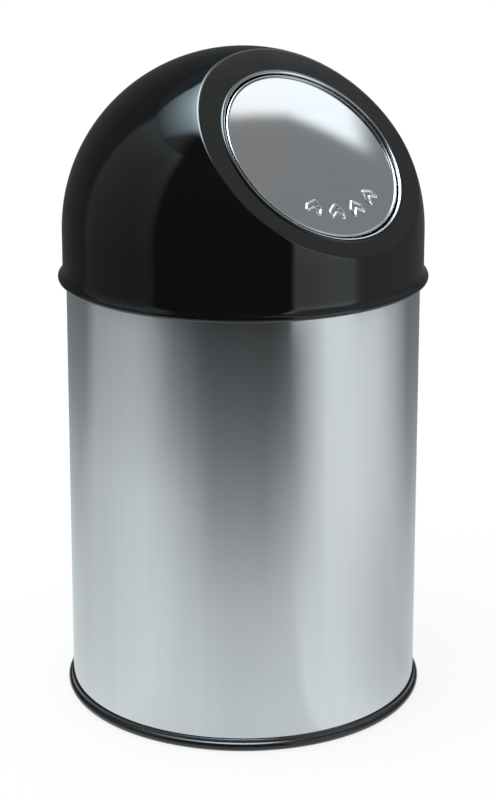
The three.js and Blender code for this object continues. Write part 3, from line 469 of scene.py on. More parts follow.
base_plastic, tree, shader = new_finish("base plastic")
near_floor = spread(tree, height_on(tree), 0.0, SCUFFED_UP_TO, 1.0, 0.25, smooth=True)
scuff_lines = use_group(tree, grain_group, Stretch=(260.0, 260.0, 1900.0), Broad_Stretch=(40.0, 40.0, 500.0))
scuff = spread(tree, scuff_lines["Fine"], 0.56, 0.70, 0.0, 1.0, smooth=True)
scuffed = product(tree, scuff, near_floor)
dust = use_group(tree, dust_group, Amount=0.22, Speck_Scale=1100.0)
dirt = maths(tree, "ADD", product(tree, scuffed, 0.25), dust["Film"], clamp=True)
tint = blend_colours(tree, dirt, PLASTIC_BLACK, PLASTIC_DUSTY)
rough = spread(tree, scuffed, 0.0, 1.0, 0.10, 0.34)
rough = maths(tree, "ADD", rough, product(tree, dust["Film"], 0.5))
complete(base_plastic, shader, tint, rough, scuffed, strength=0.1, depth=0.05)

# %% Make the base ring
ring_profile = [
    (144.9, 0.4), (145.3, 0.0), (150.9, 0.0), (151.6, 0.2), (152.4, 0.75), (153.1, 1.4), (153.75, 2.3),
    (154.2, 3.3), (154.4, 4.3), (154.3, 5.3), (153.9, 6.15), (153.2, 6.9), (152.4, 7.4), (151.85, 7.7),
    (151.65, 8.1), (151.6, 9.6), (151.45, 10.05), (151.1, 10.3), (150.3, 10.3), (150.3, 3.7),
    (148.9, 3.7), (148.9, 13.7), (148.6, 14.0), (133.3, 14.0), (132.9, 13.6), (132.9, 11.4), (133.3, 11.0),
    (144.9, 11.0),
]
base_ring = turned("base_ring_moulding", ring_profile, sides=DRUM_SIDES)
settle(base_ring, "bin", "base_plastic", base_plastic, "base_ring")

# %% [markdown]
# ## Galvanised sheet
# The bucket, the drum's bottom and the flap's back are out of sight when the bin is shut, so they are plain
# galvanised steel. Molten zinc freezes into flat crystals about a centimetre across, each a slightly other
# grey, because each mirrors the light at its own angle. A Voronoi pattern with bent borders gives the cells,
# and a random value in each cell moves both colour and roughness.

# %% Galvanised sheet
ZINC_DEEP = (0.46, 0.475, 0.49, 1)
ZINC_PALE = (0.62, 0.635, 0.65, 1)
ZINC_STAIN = (0.40, 0.405, 0.41, 1)

galvanised, tree, shader = new_finish("galvanised sheet", Metallic=1.0)
crystals = use_group(tree, spangle_group, Scale=110.0)
smudge = use_group(tree, smudge_group, Size=16.0, Sharpness=0.14)
dust = use_group(tree, dust_group, Amount=0.35)
tone = blend_colours(tree, crystals["Tone"], ZINC_DEEP, ZINC_PALE)
tone = blend_colours(tree, product(tree, smudge["Mask"], 0.22), tone, ZINC_STAIN)
rough = spread(tree, crystals["Tone"], 0.0, 1.0, 0.30, 0.46)
rough = maths(tree, "ADD", rough, product(tree, dust["Film"], 0.3))
complete(galvanised, shader, tone, rough, crystals["Edge"], strength=0.15, depth=0.1)

# %% [markdown]
# ## The drum's bottom and the bucket
# The bottom is a pressed plate with a low dish and an upright flange against the drum. The bucket tapers
# towards a rolled foot, and its rim is curled outwards over a wire. Both are turned profiles. The dish and
# the straight collar matter, since they show once the lid and the bucket are lifted out.

# %% Make the bottom plate and the bucket
plate_profile = [
    (0.0, 15.9), (103.6, 15.9), (105.6, 14.3), (147.4, 14.3), (148.4, 14.6), (148.9, 15.5), (148.9, 24.3),
    (148.1, 24.3), (148.1, 16.1), (147.6, 15.3), (146.8, 15.1), (105.8, 15.1), (103.6, 16.7), (0.0, 16.7),
]
bottom = turned("bottom_pressing", plate_profile)
settle(bottom, "bin", "galvanised_sheet", galvanised, "bottom_plate")

BUCKET_RIM = 135.0
BUCKET_RIM_HEIGHT = 347.2
BUCKET_RIM_RADIUS = 2.8
bucket_profile = [
    (0.0, 19.4), (113.6, 19.4), (114.6, 18.9), (115.3, 16.2), (115.9, 15.5), (116.8, 15.4), (117.7, 15.7),
    (118.05, 16.6), (133.0, 314.0), (133.0, 344.2),
]
bucket_profile += bend(BUCKET_RIM, BUCKET_RIM_HEIGHT, BUCKET_RIM_RADIUS, -90, 180, 18)
bucket_profile += [(132.2, 314.0), (117.25, 21.6), (116.6, 20.5), (115.4, 20.2), (0.0, 20.2)]
bucket = turned("bucket_with_rim", bucket_profile)
settle(bucket, "liner", "galvanised_sheet", galvanised, "liner_bucket")

# %% [markdown]
# ## Zinc plated small parts
# Screws, rivets, ears and the hinge are zinc plated in a barrel. That leaves a bright skin with a faint
# yellow and blue cast that differs from batch to batch, and a fine tumbled texture. Two close greys, mixed by
# a soft noise, give the cast, and a second fine noise gives the tumbled surface.

# %% Zinc plate, wire and spring steel
def plated(name, first_grey, second_grey, roughness, stretch):
    """A plated or drawn metal whose cast drifts between two greys."""
    finish, tree, shader = new_finish(name, Metallic=1.0)
    cast = use_group(tree, smudge_group, Size=60.0, Sharpness=0.2)
    lines = use_group(tree, grain_group, Stretch=stretch, Broad_Stretch=(300.0, 300.0, 300.0))
    tone = blend_colours(tree, cast["Mask"], first_grey, second_grey)
    rough = follow(tree, lines["Fine"], roughness - 0.06, roughness + 0.08)
    complete(finish, shader, tone, rough, lines["Broad"], strength=0.2, depth=0.08)
    return finish


zinc_plate = plated(
    "zinc plate", (0.60, 0.60, 0.575, 1), (0.66, 0.68, 0.70, 1),
    roughness=0.30, stretch=(1800.0, 1800.0, 1800.0),
)
bail_wire = plated(
    "bail wire", (0.50, 0.51, 0.52, 1), (0.62, 0.63, 0.64, 1),
    roughness=0.34, stretch=(120.0, 2600.0, 2600.0),
)
spring_steel = plated(
    "spring steel", (0.30, 0.31, 0.33, 1), (0.42, 0.42, 0.43, 1),
    roughness=0.26, stretch=(2400.0, 2400.0, 2400.0),
)

# %% [markdown]
# ## Screws and rivets
# Four screws hold the base ring to the plate, and four rivets hold the bail's ears. They are small, but the
# eye reads a real build from them. Each is a turned profile with a domed head. A screw's head also gets its
# cross recess, cut by a modifier and made part of the mesh at once.

# %% Helpers that cut a recess
def cut_away(piece, cutter):
    """Subtract one mesh from another and keep the result as a plain mesh."""
    modifier = piece.modifiers.new("cut", "BOOLEAN")
    modifier.operation = "DIFFERENCE"
    modifier.solver = "EXACT"
    modifier.object = cutter
    bpy.context.view_layer.update()
    cut = bpy.data.meshes.new_from_object(piece.evaluated_get(bpy.context.evaluated_depsgraph_get()))
    piece.modifiers.clear()
    piece.data = cut
    cut.shade_smooth()
    cut.set_sharp_from_angle(angle=math.radians(SHARP_FROM))
    bpy.data.objects.remove(cutter)


def cross(name, reach, width, depth, place):
    """The shape of a cross recess that goes up and down from z = 0 by its depth."""
    mesh = bmesh.new()
    for turn_by in (0, 90):
        made = bmesh.ops.create_cube(mesh, size=1.0)["verts"]
        bmesh.ops.scale(mesh, vec=(2 * reach, width, 2 * depth), verts=made)
        bmesh.ops.rotate(mesh, matrix=Matrix.Rotation(math.radians(turn_by), 3, "Z"), verts=made)
    return finish_piece(name, mesh, place)


# %% Make the screws
SCREW_CIRCLE = 138.9
SCREW_FACE = 8.7
THREADS = 8

screw_profile = [(0.0, SCREW_FACE), (1.9, 8.8), (3.0, 9.2), (3.7, 9.8), (4.0, 10.4), (4.0, 10.7), (1.8, 10.7)]
for step in range(THREADS):
    screw_profile += [(1.8, 11.2 + step), (1.45, 11.7 + step)]
screw_profile += [(1.2, 19.7), (0.0, 20.7)]
for number in range(1, 5):
    angle = math.radians(45 + 90 * (number - 1))
    spot = Matrix.Translation((SCREW_CIRCLE * math.cos(angle), SCREW_CIRCLE * math.sin(angle), 0))
    screw = turned(f"ring_screw_{number}", screw_profile, sides=32, place=spot)
    recess_place = spot @ Matrix.Translation((0, 0, SCREW_FACE))
    cut_away(screw, cross("recess", reach=2.1, width=0.85, depth=1.0, place=recess_place))
    settle(screw, "bin", "zinc_fasteners", zinc_plate, f"base_screw_{number}")

# %% Make the rivets and finish the ears
RIVET_HEIGHT = 330.0
RIVET_ASIDE = 8

rivet_profile = [
    (0.0, 128.07), (1.8, 128.12), (3.0, 128.45), (3.65, 128.9), (3.8, 129.3), (3.8, 129.47), (2.0, 129.47),
    (2.0, 133.3), (3.23, 133.3), (3.23, 133.8), (2.9, 134.3), (1.9, 134.7), (0.0, 134.75),
]
rivet_spots = [(side, aside) for side in (-1, 1) for aside in (-RIVET_ASIDE, RIVET_ASIDE)]
for number, (side, aside) in enumerate(rivet_spots, start=1):
    sideways = Matrix.Rotation(math.radians(90 * side), 4, "Y")
    spot = Matrix.Translation((0, aside, RIVET_HEIGHT)) @ sideways
    rivet = turned(f"bail_rivet_{number}", rivet_profile, sides=32, place=spot)
    settle(rivet, "liner", "zinc_fasteners", zinc_plate, f"ear_rivet_{number}")
for node_name in ("bail_ear_right", "bail_ear_left"):
    dress(node_name, zinc_plate)

# %% [markdown]
# ## The bail
# The bail is a 4 mm wire bent to a half ring that lies on the back of the bucket's rim, with its ends turned
# in through the ears and headed. A wire is a round section carried along a path. Here each section is placed
# across the path by hand, so that the headed ends belong to the same mesh.

# %% A helper that carries a wire along a path
FIRST_SIDE = Vector((0.31, 0.17, 1.0))


def wire_along(mesh, points, radii, sides=20):
    """Carry a round section along a path, with its own radius at each point."""
    side = FIRST_SIDE.cross(points[1] - points[0]).normalized()
    rings = []
    for i, point in enumerate(points):
        ahead = (points[min(i + 1, len(points) - 1)] - points[max(i - 1, 0)]).normalized()
        side = (side - ahead * side.dot(ahead)).normalized()
        up = ahead.cross(side)
        ring = []
        for k in range(sides):
            angle = 2 * math.pi * k / sides
            ring.append(mesh.verts.new(point + (side * math.cos(angle) + up * math.sin(angle)) * radii[i]))
        rings.append(ring)
    for ring, following in zip(rings, rings[1:]):
        skin(mesh, ring, following)
    mesh.faces.new(rings[0])
    mesh.faces.new(rings[-1])


# %% Make the bail
BAIL_HEIGHT = 352.3
BAIL_REACH = 135.0
BAIL_BEND = 3.1
BAIL_WIRE = 2.0
BEND_STEPS = 8
LOOP_GAP = 0.6
LOOP_STEPS = 48

headed_end = [(120.8, 2.6), (121.2, 3.2), (122.2, 3.4), (123.0, 3.3)]
half_path = [(x, 0.0) for x, radius in headed_end] + [(123.2, 0.0), (126.0, 0.0), (129.0, 0.0)]
half_path += bend(BAIL_REACH - BAIL_BEND, BAIL_BEND, BAIL_BEND, -90, -12, BEND_STEPS)
loop_start = math.degrees(math.asin(BAIL_BEND / BAIL_REACH)) + LOOP_GAP
half_path += bend(0.0, 0.0, BAIL_REACH, loop_start, 90, LOOP_STEPS)
half_radii = [radius for x, radius in headed_end]
half_radii += [BAIL_WIRE] * (len(half_path) - len(half_radii))
path = half_path + [(-x, y) for x, y in reversed(half_path[:-1])]
radii = half_radii + list(reversed(half_radii[:-1]))
bail_mesh = bmesh.new()
wire_along(bail_mesh, [Vector((x, y, BAIL_HEIGHT)) for x, y in path], radii)
bail = finish_piece("bail_loop", bail_mesh, crease=50)
settle(bail, "bail", "bail_wire", bail_wire, "bail_handle")

# %% [markdown]
# ## Where the flat face lies
# The dome, its finish, the flap and the hinge are all laid out from the flat face. Three directions and a few
# radii describe it: outwards is square to the face, upslope runs up along it, and across runs level.

# %% The flat face's own directions
DOME_RADIUS = 153.0
DOME_INSIDE = 151.8
DOME_SHEET = 1.2
DOME_CENTRE = Vector((0.0, 0.0, 407.0))
FACE_OFFSET = 112.5
FACE_TILT = math.radians(46.5)
HOLE_RADIUS = 81.5
HOLE_DROP = 4.0
LIP = 2.2
LIP_DEPTH = 0.9
LIP_ROOM = 0.3
CREASE = 3.0
CREASE_CIRCLE = math.sqrt((DOME_RADIUS - CREASE) ** 2 - (FACE_OFFSET - CREASE) ** 2)
CREASE_TURN = math.degrees(math.atan2(CREASE_CIRCLE, FACE_OFFSET - CREASE))

outwards = Vector((0.0, -math.sin(FACE_TILT), math.cos(FACE_TILT)))
upslope = Vector((0.0, math.cos(FACE_TILT), math.sin(FACE_TILT)))
across = Vector((1.0, 0.0, 0.0))
face_place = Matrix.Translation(DOME_CENTRE + outwards * FACE_OFFSET) @ Matrix.Rotation(FACE_TILT, 4, "X")
flap_place = face_place @ Matrix.Translation((0, -HOLE_DROP, 0))
print("the flat face looks up by", round(90 - math.degrees(FACE_TILT), 1), "degrees")

# %% [markdown]
# ## The dome's enamel
# The dome is spun steel under a coat of black stoving enamel. Up close such a coat is a mirror with a very
# slight orange peel, since the paint levels but never quite lies flat. The colour is nearly black and the
# roughness low, a weak broad bump gives the peel, and a little dust lies on the top, as on every bin. On the
# rolled edge of the hole a narrow ring of bare steel is painted as the edge's bright highlight, so inside
# that ring the mask turns enamel into steel.

# %% A mask for the painted highlight on the hole's edge
HIGHLIGHT_EDGE = 1.7
HIGHLIGHT_FADE = 0.4
HIGHLIGHT_DEPTH = 12.0


def hole_highlight_mask(tree, place):
    """1 on the narrow ring round the hole where the highlight is painted, and 0 elsewhere on the dome."""
    hole_middle = (DOME_CENTRE - upslope * HOLE_DROP) * MM
    from_hole = vector_maths(tree, "SUBTRACT", place, hole_middle)
    depth = vector_maths(tree, "DOT_PRODUCT", from_hole, outwards)
    aside = vector_maths(tree, "LENGTH", vector_maths(tree, "CROSS_PRODUCT", from_hole, outwards))
    ring_edge = (HOLE_RADIUS + HIGHLIGHT_EDGE) * MM
    narrow = spread(tree, aside, ring_edge, ring_edge + HIGHLIGHT_FADE * MM, 1.0, 0.0, smooth=True)
    in_front = maths(tree, "GREATER_THAN", depth, (FACE_OFFSET - HIGHLIGHT_DEPTH) * MM)
    return product(tree, narrow, in_front)


# %% Black enamel
ENAMEL_BLACK = (0.0038, 0.0038, 0.0036, 1)
ENAMEL_DUSTY = (0.16, 0.16, 0.155, 1)
HIGHLIGHT_STEEL = (0.62, 0.63, 0.64, 1)

black_enamel, tree, shader = new_finish("black enamel", IOR=1.5)
place = where_on(tree)
smudge = use_group(tree, smudge_group, Size=10.0, Sharpness=0.14)
dust = use_group(tree, dust_group, Amount=0.10, Speck_Scale=700.0)
dusty = maths(tree, "ADD", product(tree, dust["Film"], 0.12), dust["Specks"], clamp=True)
tint = blend_colours(tree, dusty, ENAMEL_BLACK, ENAMEL_DUSTY)
# Painted highlight: a narrow ring of bare steel on the hole's rolled edge gives it a bright line of light.
highlight_ring = hole_highlight_mask(tree, place)
tree.links.new(highlight_ring, shader.inputs["Metallic"])
tint = blend_colours(tree, highlight_ring, tint, HIGHLIGHT_STEEL)
rough = spread(tree, smudge["Mask"], 0.0, 1.0, 0.045, 0.075)
rough = maths(tree, "ADD", rough, product(tree, dust["Film"], 0.6))
peel = noise(tree, place, scale=260.0, detail=2.0)[0]
complete(black_enamel, shader, tint, rough, peel, strength=0.05, depth=0.1)

# %% [markdown]
# ## The dome
# The dome is half a ball on a short straight skirt, with a flat round face pressed across it at a slant and a
# hole for the flap in that face. The hole's edge is rolled into a bead, and the hem is rolled outwards. A
# boolean cut would leave ragged shading at the crease, so the dome is one continuous grid instead. Its
# columns fan out from the middle of the flat face. Its rows run over the rolled edge, across the flat face,
# round the crease, down the ball to the equator, down the skirt, round the hem and back up the inside.

# %% One column of the dome's grid
HEM_CIRCLE = 154.2
HEM_HEIGHT = 367.8
HEM_RADIUS = 2.8
LIP_STEPS = 24
CREASE_STEPS = 6
OUTSIDE_STEPS = 36
INSIDE_STEPS = 24


def spoke(around):
    """The direction along the flat face in which a column sets out, by its angle."""
    return across * math.cos(around) + upslope * math.sin(around)


def on_face(around, radius, depth, drop=0.0):
    """A point near the flat face, by its distance from the face's middle or from the hole's middle."""
    return DOME_CENTRE + outwards * (FACE_OFFSET - depth) + spoke(around) * radius - upslope * drop


def on_ball(around, from_axis, radius):
    """A point on a ball about the dome's centre, by its angle from the flat face's axis."""
    return DOME_CENTRE + (outwards * math.cos(from_axis) + spoke(around) * math.sin(from_axis)) * radius


def dome_column(around):
    """All points of one column, from the rolled edge down the outside to the hem, and back up the inside."""
    points = []
    lip_circle = HOLE_RADIUS + LIP
    for radius, height in bend(lip_circle, 0.0, LIP, -8, -336, LIP_STEPS):
        points.append(on_face(around, radius, LIP_DEPTH - height, HOLE_DROP))
    inner = on_face(around, lip_circle + LIP + LIP_ROOM, 0.0, HOLE_DROP)
    rim = on_face(around, CREASE_CIRCLE, 0.0)
    points += [inner.lerp(rim, t) for t in (0.0, 0.04, 0.35, 0.7, 0.97, 1.0)]
    for radius, height in bend(CREASE_CIRCLE, -CREASE, CREASE, 90, 90 - CREASE_TURN, CREASE_STEPS)[1:]:
        points.append(on_face(around, radius, -height))
    start = math.radians(CREASE_TURN)
    equator = math.atan2(outwards.z, -math.sin(around) * upslope.z)
    for i in range(1, OUTSIDE_STEPS + 1):
        points.append(on_ball(around, start + (equator - start) * i / OUTSIDE_STEPS, DOME_RADIUS))
    level = on_ball(around, equator, 1.0) - DOME_CENTRE
    skirt = [(DOME_RADIUS, 400.0), (DOME_RADIUS, 388.0), (DOME_RADIUS, 377.5)]
    skirt += [(153.05, 376.2), (153.25, 374.9), (153.6, 373.6), (154.1, 372.4), (154.8, 371.3)]
    skirt += bend(HEM_CIRCLE, HEM_HEIGHT, HEM_RADIUS, 50, -180, 16)
    skirt += [(DOME_INSIDE, 369.4), (DOME_INSIDE, 388.0)]
    points += [Vector((level.x * radius, level.y * radius, height)) for radius, height in skirt]
    end = math.acos((FACE_OFFSET - DOME_SHEET) / DOME_INSIDE)
    for i in range(INSIDE_STEPS + 1):
        points.append(on_ball(around, equator + (end - equator) * i / INSIDE_STEPS, DOME_INSIDE))
    return points


# %% Make the dome
COLUMNS = 240

dome_mesh = bmesh.new()
columns = []
for k in range(COLUMNS):
    around = 2 * math.pi * (k + 0.5) / COLUMNS
    columns.append([dome_mesh.verts.new(point) for point in dome_column(around)])
for column, following in zip(columns, columns[1:] + columns[:1]):
    skin(dome_mesh, column, following)
dome = finish_piece("dome_with_hem", dome_mesh, crease=40)
settle(dome, "lid", "black_enamel", black_enamel, "dome_shell")

# %% Make the seat ring
seat_profile = [
    (142.0, 373.3), (143.2, 373.3), (143.2, 384.3), (143.6, 385.1), (144.4, 385.3), (150.2, 385.3),
    (151.1, 385.6), (151.5, 386.4), (151.5, 398.3), (150.3, 398.3), (150.3, 386.9), (149.9, 386.5),
    (143.4, 386.5), (142.4, 386.1), (142.0, 385.2),
]
seat = turned("seat_pressing", seat_profile)
settle(seat, "lid", "black_enamel", black_enamel, "lid_seat_ring")

# %% [markdown]
# ## The flap's steel
# The flap is the bright spot of the bin: a pressed disc of steel, polished far more than the drum. It mirrors
# the room almost clearly. Polishing wheels leave very fine curved lines, and fingers leave soft marks in the
# lower half, where people push. What stands up from it gets a much paler and a little rougher steel, painted
# as the bright highlight that the raised marks catch, so they have a second finish.

# %% Flap steel
POLISHED_DEEP = (0.455, 0.456, 0.458, 1)
POLISHED_PALE = (0.490, 0.489, 0.488, 1)
PUSHED_BELOW = 0.43
CLEAN_ABOVE = 0.50

flap_steel, tree, shader = new_finish("flap steel", Metallic=1.0)
wheel = use_group(tree, grain_group, Stretch=(40.0, 2200.0, 2200.0), Broad_Stretch=(10.0, 120.0, 120.0))
prints = use_group(tree, smudge_group, Size=26.0, Sharpness=0.10)
pushed = spread(tree, height_on(tree), PUSHED_BELOW, CLEAN_ABOVE, 1.0, 0.15, smooth=True)
handled = product(tree, prints["Mask"], pushed)
tone = blend_colours(tree, wheel["Broad"], POLISHED_DEEP, POLISHED_PALE)
rough = follow(tree, wheel["Fine"], 0.06, 0.09)
rough = maths(tree, "ADD", rough, product(tree, handled, 0.03))
complete(flap_steel, shader, tone, rough, wheel["Fine"], strength=0.04, depth=0.03)

# %% Paler steel with a painted highlight, for what stands up from the flap
RIDGE_HIGHLIGHT_DEEP = (0.80, 0.81, 0.82, 1)
RIDGE_HIGHLIGHT_PALE = (0.88, 0.89, 0.90, 1)

# Painted highlight: the raised marks get a much paler steel than the flap, standing in for the bright lines
# of light they catch.
ridge_highlight_steel, tree, shader = new_finish("ridge highlight steel", Metallic=1.0)
ridge_drift = use_group(tree, smudge_group, Size=90.0, Sharpness=0.2)
scratches = use_group(
    tree, grain_group, Stretch=(1500.0, 1500.0, 1500.0), Broad_Stretch=(300.0, 300.0, 300.0),
)
tone = blend_colours(tree, ridge_drift["Mask"], RIDGE_HIGHLIGHT_DEEP, RIDGE_HIGHLIGHT_PALE)
rough = follow(tree, scratches["Fine"], 0.22, 0.34)
complete(ridge_highlight_steel, shader, tone, rough, scratches["Broad"], strength=0.1, depth=0.05)

# %% [markdown]
# ## The flap
# The front is pressed into a shallow crown with a thin rolled edge. Four raised outlines of plain chevrons
# stand near its lower edge and point to its middle. The disc is a turned profile. Each outline is a low
# half-round ridge that runs along a closed path with rounded corners and follows the crown.

# %% The flap's disc
CROWN_RADIUS = 77.6
CROWN_FOOT = -1.25
CROWN_RISE = 3.9
FLAP_SHEET = 0.8
FLAP_SIDES = 224
FRONT_STEPS = 24
BACK_STEPS = 12
RIM_CIRCLE = 79.0
RIM_HEIGHT = -0.9
RIM_RADIUS = 1.0


def crown(radius):
    """Height of the pressed front above the flat face."""
    return CROWN_FOOT + CROWN_RISE * (1 - (radius / CROWN_RADIUS) ** 2)


front = []
for i in range(FRONT_STEPS):
    radius = CROWN_RADIUS * i / FRONT_STEPS
    front.append((radius, crown(radius)))
front += [(77.2, -1.2), (77.6, -1.24), (77.85, -1.18), (77.97, -0.98)]
front += bend(RIM_CIRCLE, RIM_HEIGHT, RIM_RADIUS, 165, -150, 22)
back = [(77.95, -1.75), (77.7, -1.98), (77.3, -2.03)]
for i in range(BACK_STEPS - 1, -1, -1):
    radius = CROWN_RADIUS * i / BACK_STEPS
    back.append((radius, crown(radius) - FLAP_SHEET))
flap_mesh = bmesh.new()
turn(flap_mesh, front + back, FLAP_SIDES)
disc_faces = len(flap_mesh.faces)
print("faces of the disc:", disc_faces)

# %% The outline of a chevron
MARK_POINT = 7.5
MARK_BAND = 10.0
MARK_HALF_WIDTH = 7.5
CORNER_RADIUS = 1.1
CORNER_STEPS = 5
PATH_SPACING = 1.2


def chevron_corners(inset):
    """The corners of a chevron's outline, drawn in from its edge by the inset."""
    slope = MARK_POINT / MARK_HALF_WIDTH
    rise = inset * math.hypot(1, slope)
    half = MARK_HALF_WIDTH - inset
    tail = -(MARK_POINT + MARK_BAND) / 2 + slope * inset
    point = tail + slope * half
    head = tail + MARK_BAND
    lower = [(-half, tail + rise), (0.0, point + rise), (half, tail + rise)]
    upper = [(half, head - rise), (0.0, point + MARK_BAND - rise), (-half, head - rise)]
    return [Vector(corner) for corner in lower + upper]


def rounded_path(corners):
    """A closed path through corners, each rounded, with even points between them."""
    path = []
    for i, corner in enumerate(corners):
        following = corners[(i + 1) % len(corners)]
        before = (corners[i - 1] - corner).normalized()
        after = (following - corner).normalized()
        set_back = CORNER_RADIUS / math.tan(before.angle(after) / 2)
        first = corner + before * set_back
        last = corner + after * set_back
        for k in range(CORNER_STEPS + 1):
            t = k / CORNER_STEPS
            path.append(first * (1 - t) ** 2 + corner * 2 * t * (1 - t) + last * t ** 2)
        gap = (following - corner).length - 2 * set_back
        pieces = max(1, round(gap / PATH_SPACING))
        path += [last + after * gap * k / pieces for k in range(1, pieces)]
    return path


# %% Raise the chevrons and finish the flap
MARKS = 4
MARK_CIRCLE = 57.0
MARK_TURN = 22
RIDGE_HALF = 1.1
RIDGE_RISE = 1.0
RIDGE_SIDE = [(-1, -0.4), (-1, 0), (-0.8, 0.5), (-0.4, 0.92)]
RIDGE_SECTION = RIDGE_SIDE + [(0, 1)] + [(-offset, rise) for offset, rise in reversed(RIDGE_SIDE)]


def raise_mark(mesh, turn_by):
    """Add one chevron's ridge to the flap, turned about the flap's middle."""
    path = rounded_path(chevron_corners(RIDGE_HALF))
    rings = []
    for i, point in enumerate(path):
        ahead = (path[(i + 1) % len(path)] - path[i - 1]).normalized()
        sideways = Vector((-ahead.y, ahead.x))
        ring = []
        for offset, rise in RIDGE_SECTION:
            spot = point + sideways * offset * RIDGE_HALF + Vector((0.0, -MARK_CIRCLE))
            spot = Matrix.Rotation(turn_by, 2) @ spot
            ring.append(mesh.verts.new((spot.x, spot.y, crown(spot.length) + rise * RIDGE_RISE)))
        rings.append(ring)
    for ring, following in zip(rings, rings[1:] + rings[:1]):
        skin(mesh, ring, following)


for number in range(MARKS):
    raise_mark(flap_mesh, math.radians((number - (MARKS - 1) / 2) * MARK_TURN))
flap = finish_piece("flap_front", flap_mesh, flap_place)
settle(flap, "flap", "flap_steel", flap_steel, "flap_plate")
# The raised marks take the paler steel with its painted highlight.
flap.data.materials.append(ridge_highlight_steel)
for face in flap.data.polygons[disc_faces:]:
    face.material_index = 1
print("faces of the raised marks:", len(flap.data.polygons) - disc_faces)

# %% [markdown]
# ## Behind the flap
# A flat pan stiffens the front, and a strap is riveted across it. The strap's forked end turns on the hinge
# pin, and a rubber button at its other end meets the back of the flat face when the flap shuts. They are seen
# only from inside, but they show when the lid is off, so they get the same care in their edges.

# %% Make the pan and the strap's rivets
STRAP_RIVETS_UP = (35.5, -11.25, -58.0)

pan_profile = [
    (0.0, -4.2), (77.9, -4.2), (78.3, -4.05), (78.4, -3.8), (78.3, -3.5), (77.9, -3.4), (0.0, -3.4),
]
pan = turned("flap_pan", pan_profile, place=flap_place)
settle(pan, "flap", "galvanised_sheet", galvanised, "flap_backing")

strap_rivet_profile = [
    (0.0, -1.9), (2.2, -1.95), (2.7, -2.3), (2.72, -3.1), (1.6, -3.1), (1.6, -6.3), (3.4, -6.3), (3.4, -6.6),
    (3.1, -7.05), (2.2, -7.4), (0.0, -7.5),
]
for number, up in enumerate(STRAP_RIVETS_UP, start=1):
    spot = face_place @ Matrix.Translation((0, up, 0))
    rivet = turned(f"strap_rivet_head_{number}", strap_rivet_profile, sides=32, place=spot)
    settle(rivet, "flap", "zinc_fasteners", zinc_plate, f"strap_rivet_{number}")
dress("flap_strap", zinc_plate)

# %% Bumper rubber
RUBBER_DARK = (0.018, 0.018, 0.019, 1)
RUBBER_BLOOM = (0.035, 0.034, 0.033, 1)

rubber, tree, shader = new_finish("bumper rubber")
wear = use_group(tree, smudge_group, Size=120.0, Sharpness=0.2)
tint = blend_colours(tree, wear["Mask"], RUBBER_DARK, RUBBER_BLOOM)
rough = spread(tree, wear["Mask"], 0.0, 1.0, 0.62, 0.8)
pores = noise(tree, where_on(tree), scale=3000.0, detail=3.0)[0]
complete(rubber, shader, tint, rough, pores, strength=0.3, depth=0.1)

# %% Make the rubber button
BUTTON_DOWN = 94.7

bumper_profile = [
    (0.0, -1.5), (2.9, -1.52), (3.5, -1.75), (3.78, -2.3), (3.8, -4.0), (3.6, -4.2), (1.5, -4.2), (1.5, -6.3),
    (2.7, -6.3), (2.8, -6.6), (2.4, -7.4), (1.4, -8.1), (0.0, -8.1),
]
spot = face_place @ Matrix.Translation((0, -BUTTON_DOWN, 0))
bumper = turned("stop_button", bumper_profile, sides=40, place=spot)
settle(bumper, "flap", "bumper_rubber", rubber, "stop_bumper")

# %% [markdown]
# ## The hinge
# A bracket is held under the flat face by two welded studs and their nuts. Its two ears carry a pin, which a
# snap ring keeps in place, and a torsion spring wound round the pin swings the flap shut. The pin and the
# studs are turned about their own axes, and the spring is a wire carried along a helix with two straight
# legs. The leg that lies on the flap turns with it, so the spring is made in two pieces, with most of a curl
# left out between them: that leg with its first curl rides on the flap, and the rest rides on the lid.

# %% Make the pin
HINGE_UP = 63.5
HINGE_DEPTH = 12.0

sideways = Matrix.Rotation(math.radians(90), 4, "Y")
pin_place = face_place @ Matrix.Translation((0, HINGE_UP, -HINGE_DEPTH)) @ sideways
pin_profile = [
    (0.0, -18.4), (2.6, -18.4), (3.5, -18.1), (4.0, -17.4), (4.0, -16.8), (2.5, -16.8), (2.5, 16.8),
    (1.9, 16.8), (1.9, 17.9), (2.5, 17.9), (2.5, 19.4), (2.0, 19.9), (0.0, 19.9),
]
pin = turned("hinge_pin_turned", pin_profile, sides=48, place=pin_place)
settle(pin, "lid", "zinc_fasteners", zinc_plate, "hinge_pin")

# %% Make the studs and the nuts
STUD_UP = 89.0
STUD_ASIDE = 22.6
STUD_TURNS = 10
STUD_PITCH = 0.7

stud_profile = [(0.0, -9.0), (1.2, -9.0)]
for step in range(STUD_TURNS):
    stud_profile += [(1.5, -8.75 + STUD_PITCH * step), (1.8, -8.4 + STUD_PITCH * step)]
stud_profile += [(1.8, -1.5), (0.0, -1.5)]
nut_profile = [(2.1, -6.5), (2.1, -3.3), (3.3, -3.3), (4.0, -3.65), (4.0, -6.15), (3.3, -6.5)]
for side, x in (("left", -STUD_ASIDE), ("right", STUD_ASIDE)):
    spot = face_place @ Matrix.Translation((x, STUD_UP, 0))
    stud = turned(f"stud_threaded_{side}", stud_profile, sides=32, place=spot, crease=25)
    settle(stud, "lid", "zinc_fasteners", zinc_plate, f"hinge_stud_{side}")
    nut = turned(f"nut_hexagon_{side}", nut_profile, sides=6, place=spot, crease=20)
    settle(nut, "lid", "zinc_fasteners", zinc_plate, f"hinge_nut_{side}")
dress("hinge_bracket", zinc_plate)
dress("pin_clip", spring_steel)

# %% Wind the spring
CURLS = 6
CURL_STEPS = 28
CURL_RADIUS = 4.6
CURL_PITCH = 2.15
TURNING_STEPS = CURL_STEPS + 6
RESTING_STEPS = 2 * CURL_STEPS
SPRING_WIRE = 0.8
TURNING_LEG = (30.0, 16.0, 1.6)
RESTING_LEG = 27.0
RESTING_DEPTH = -4.1

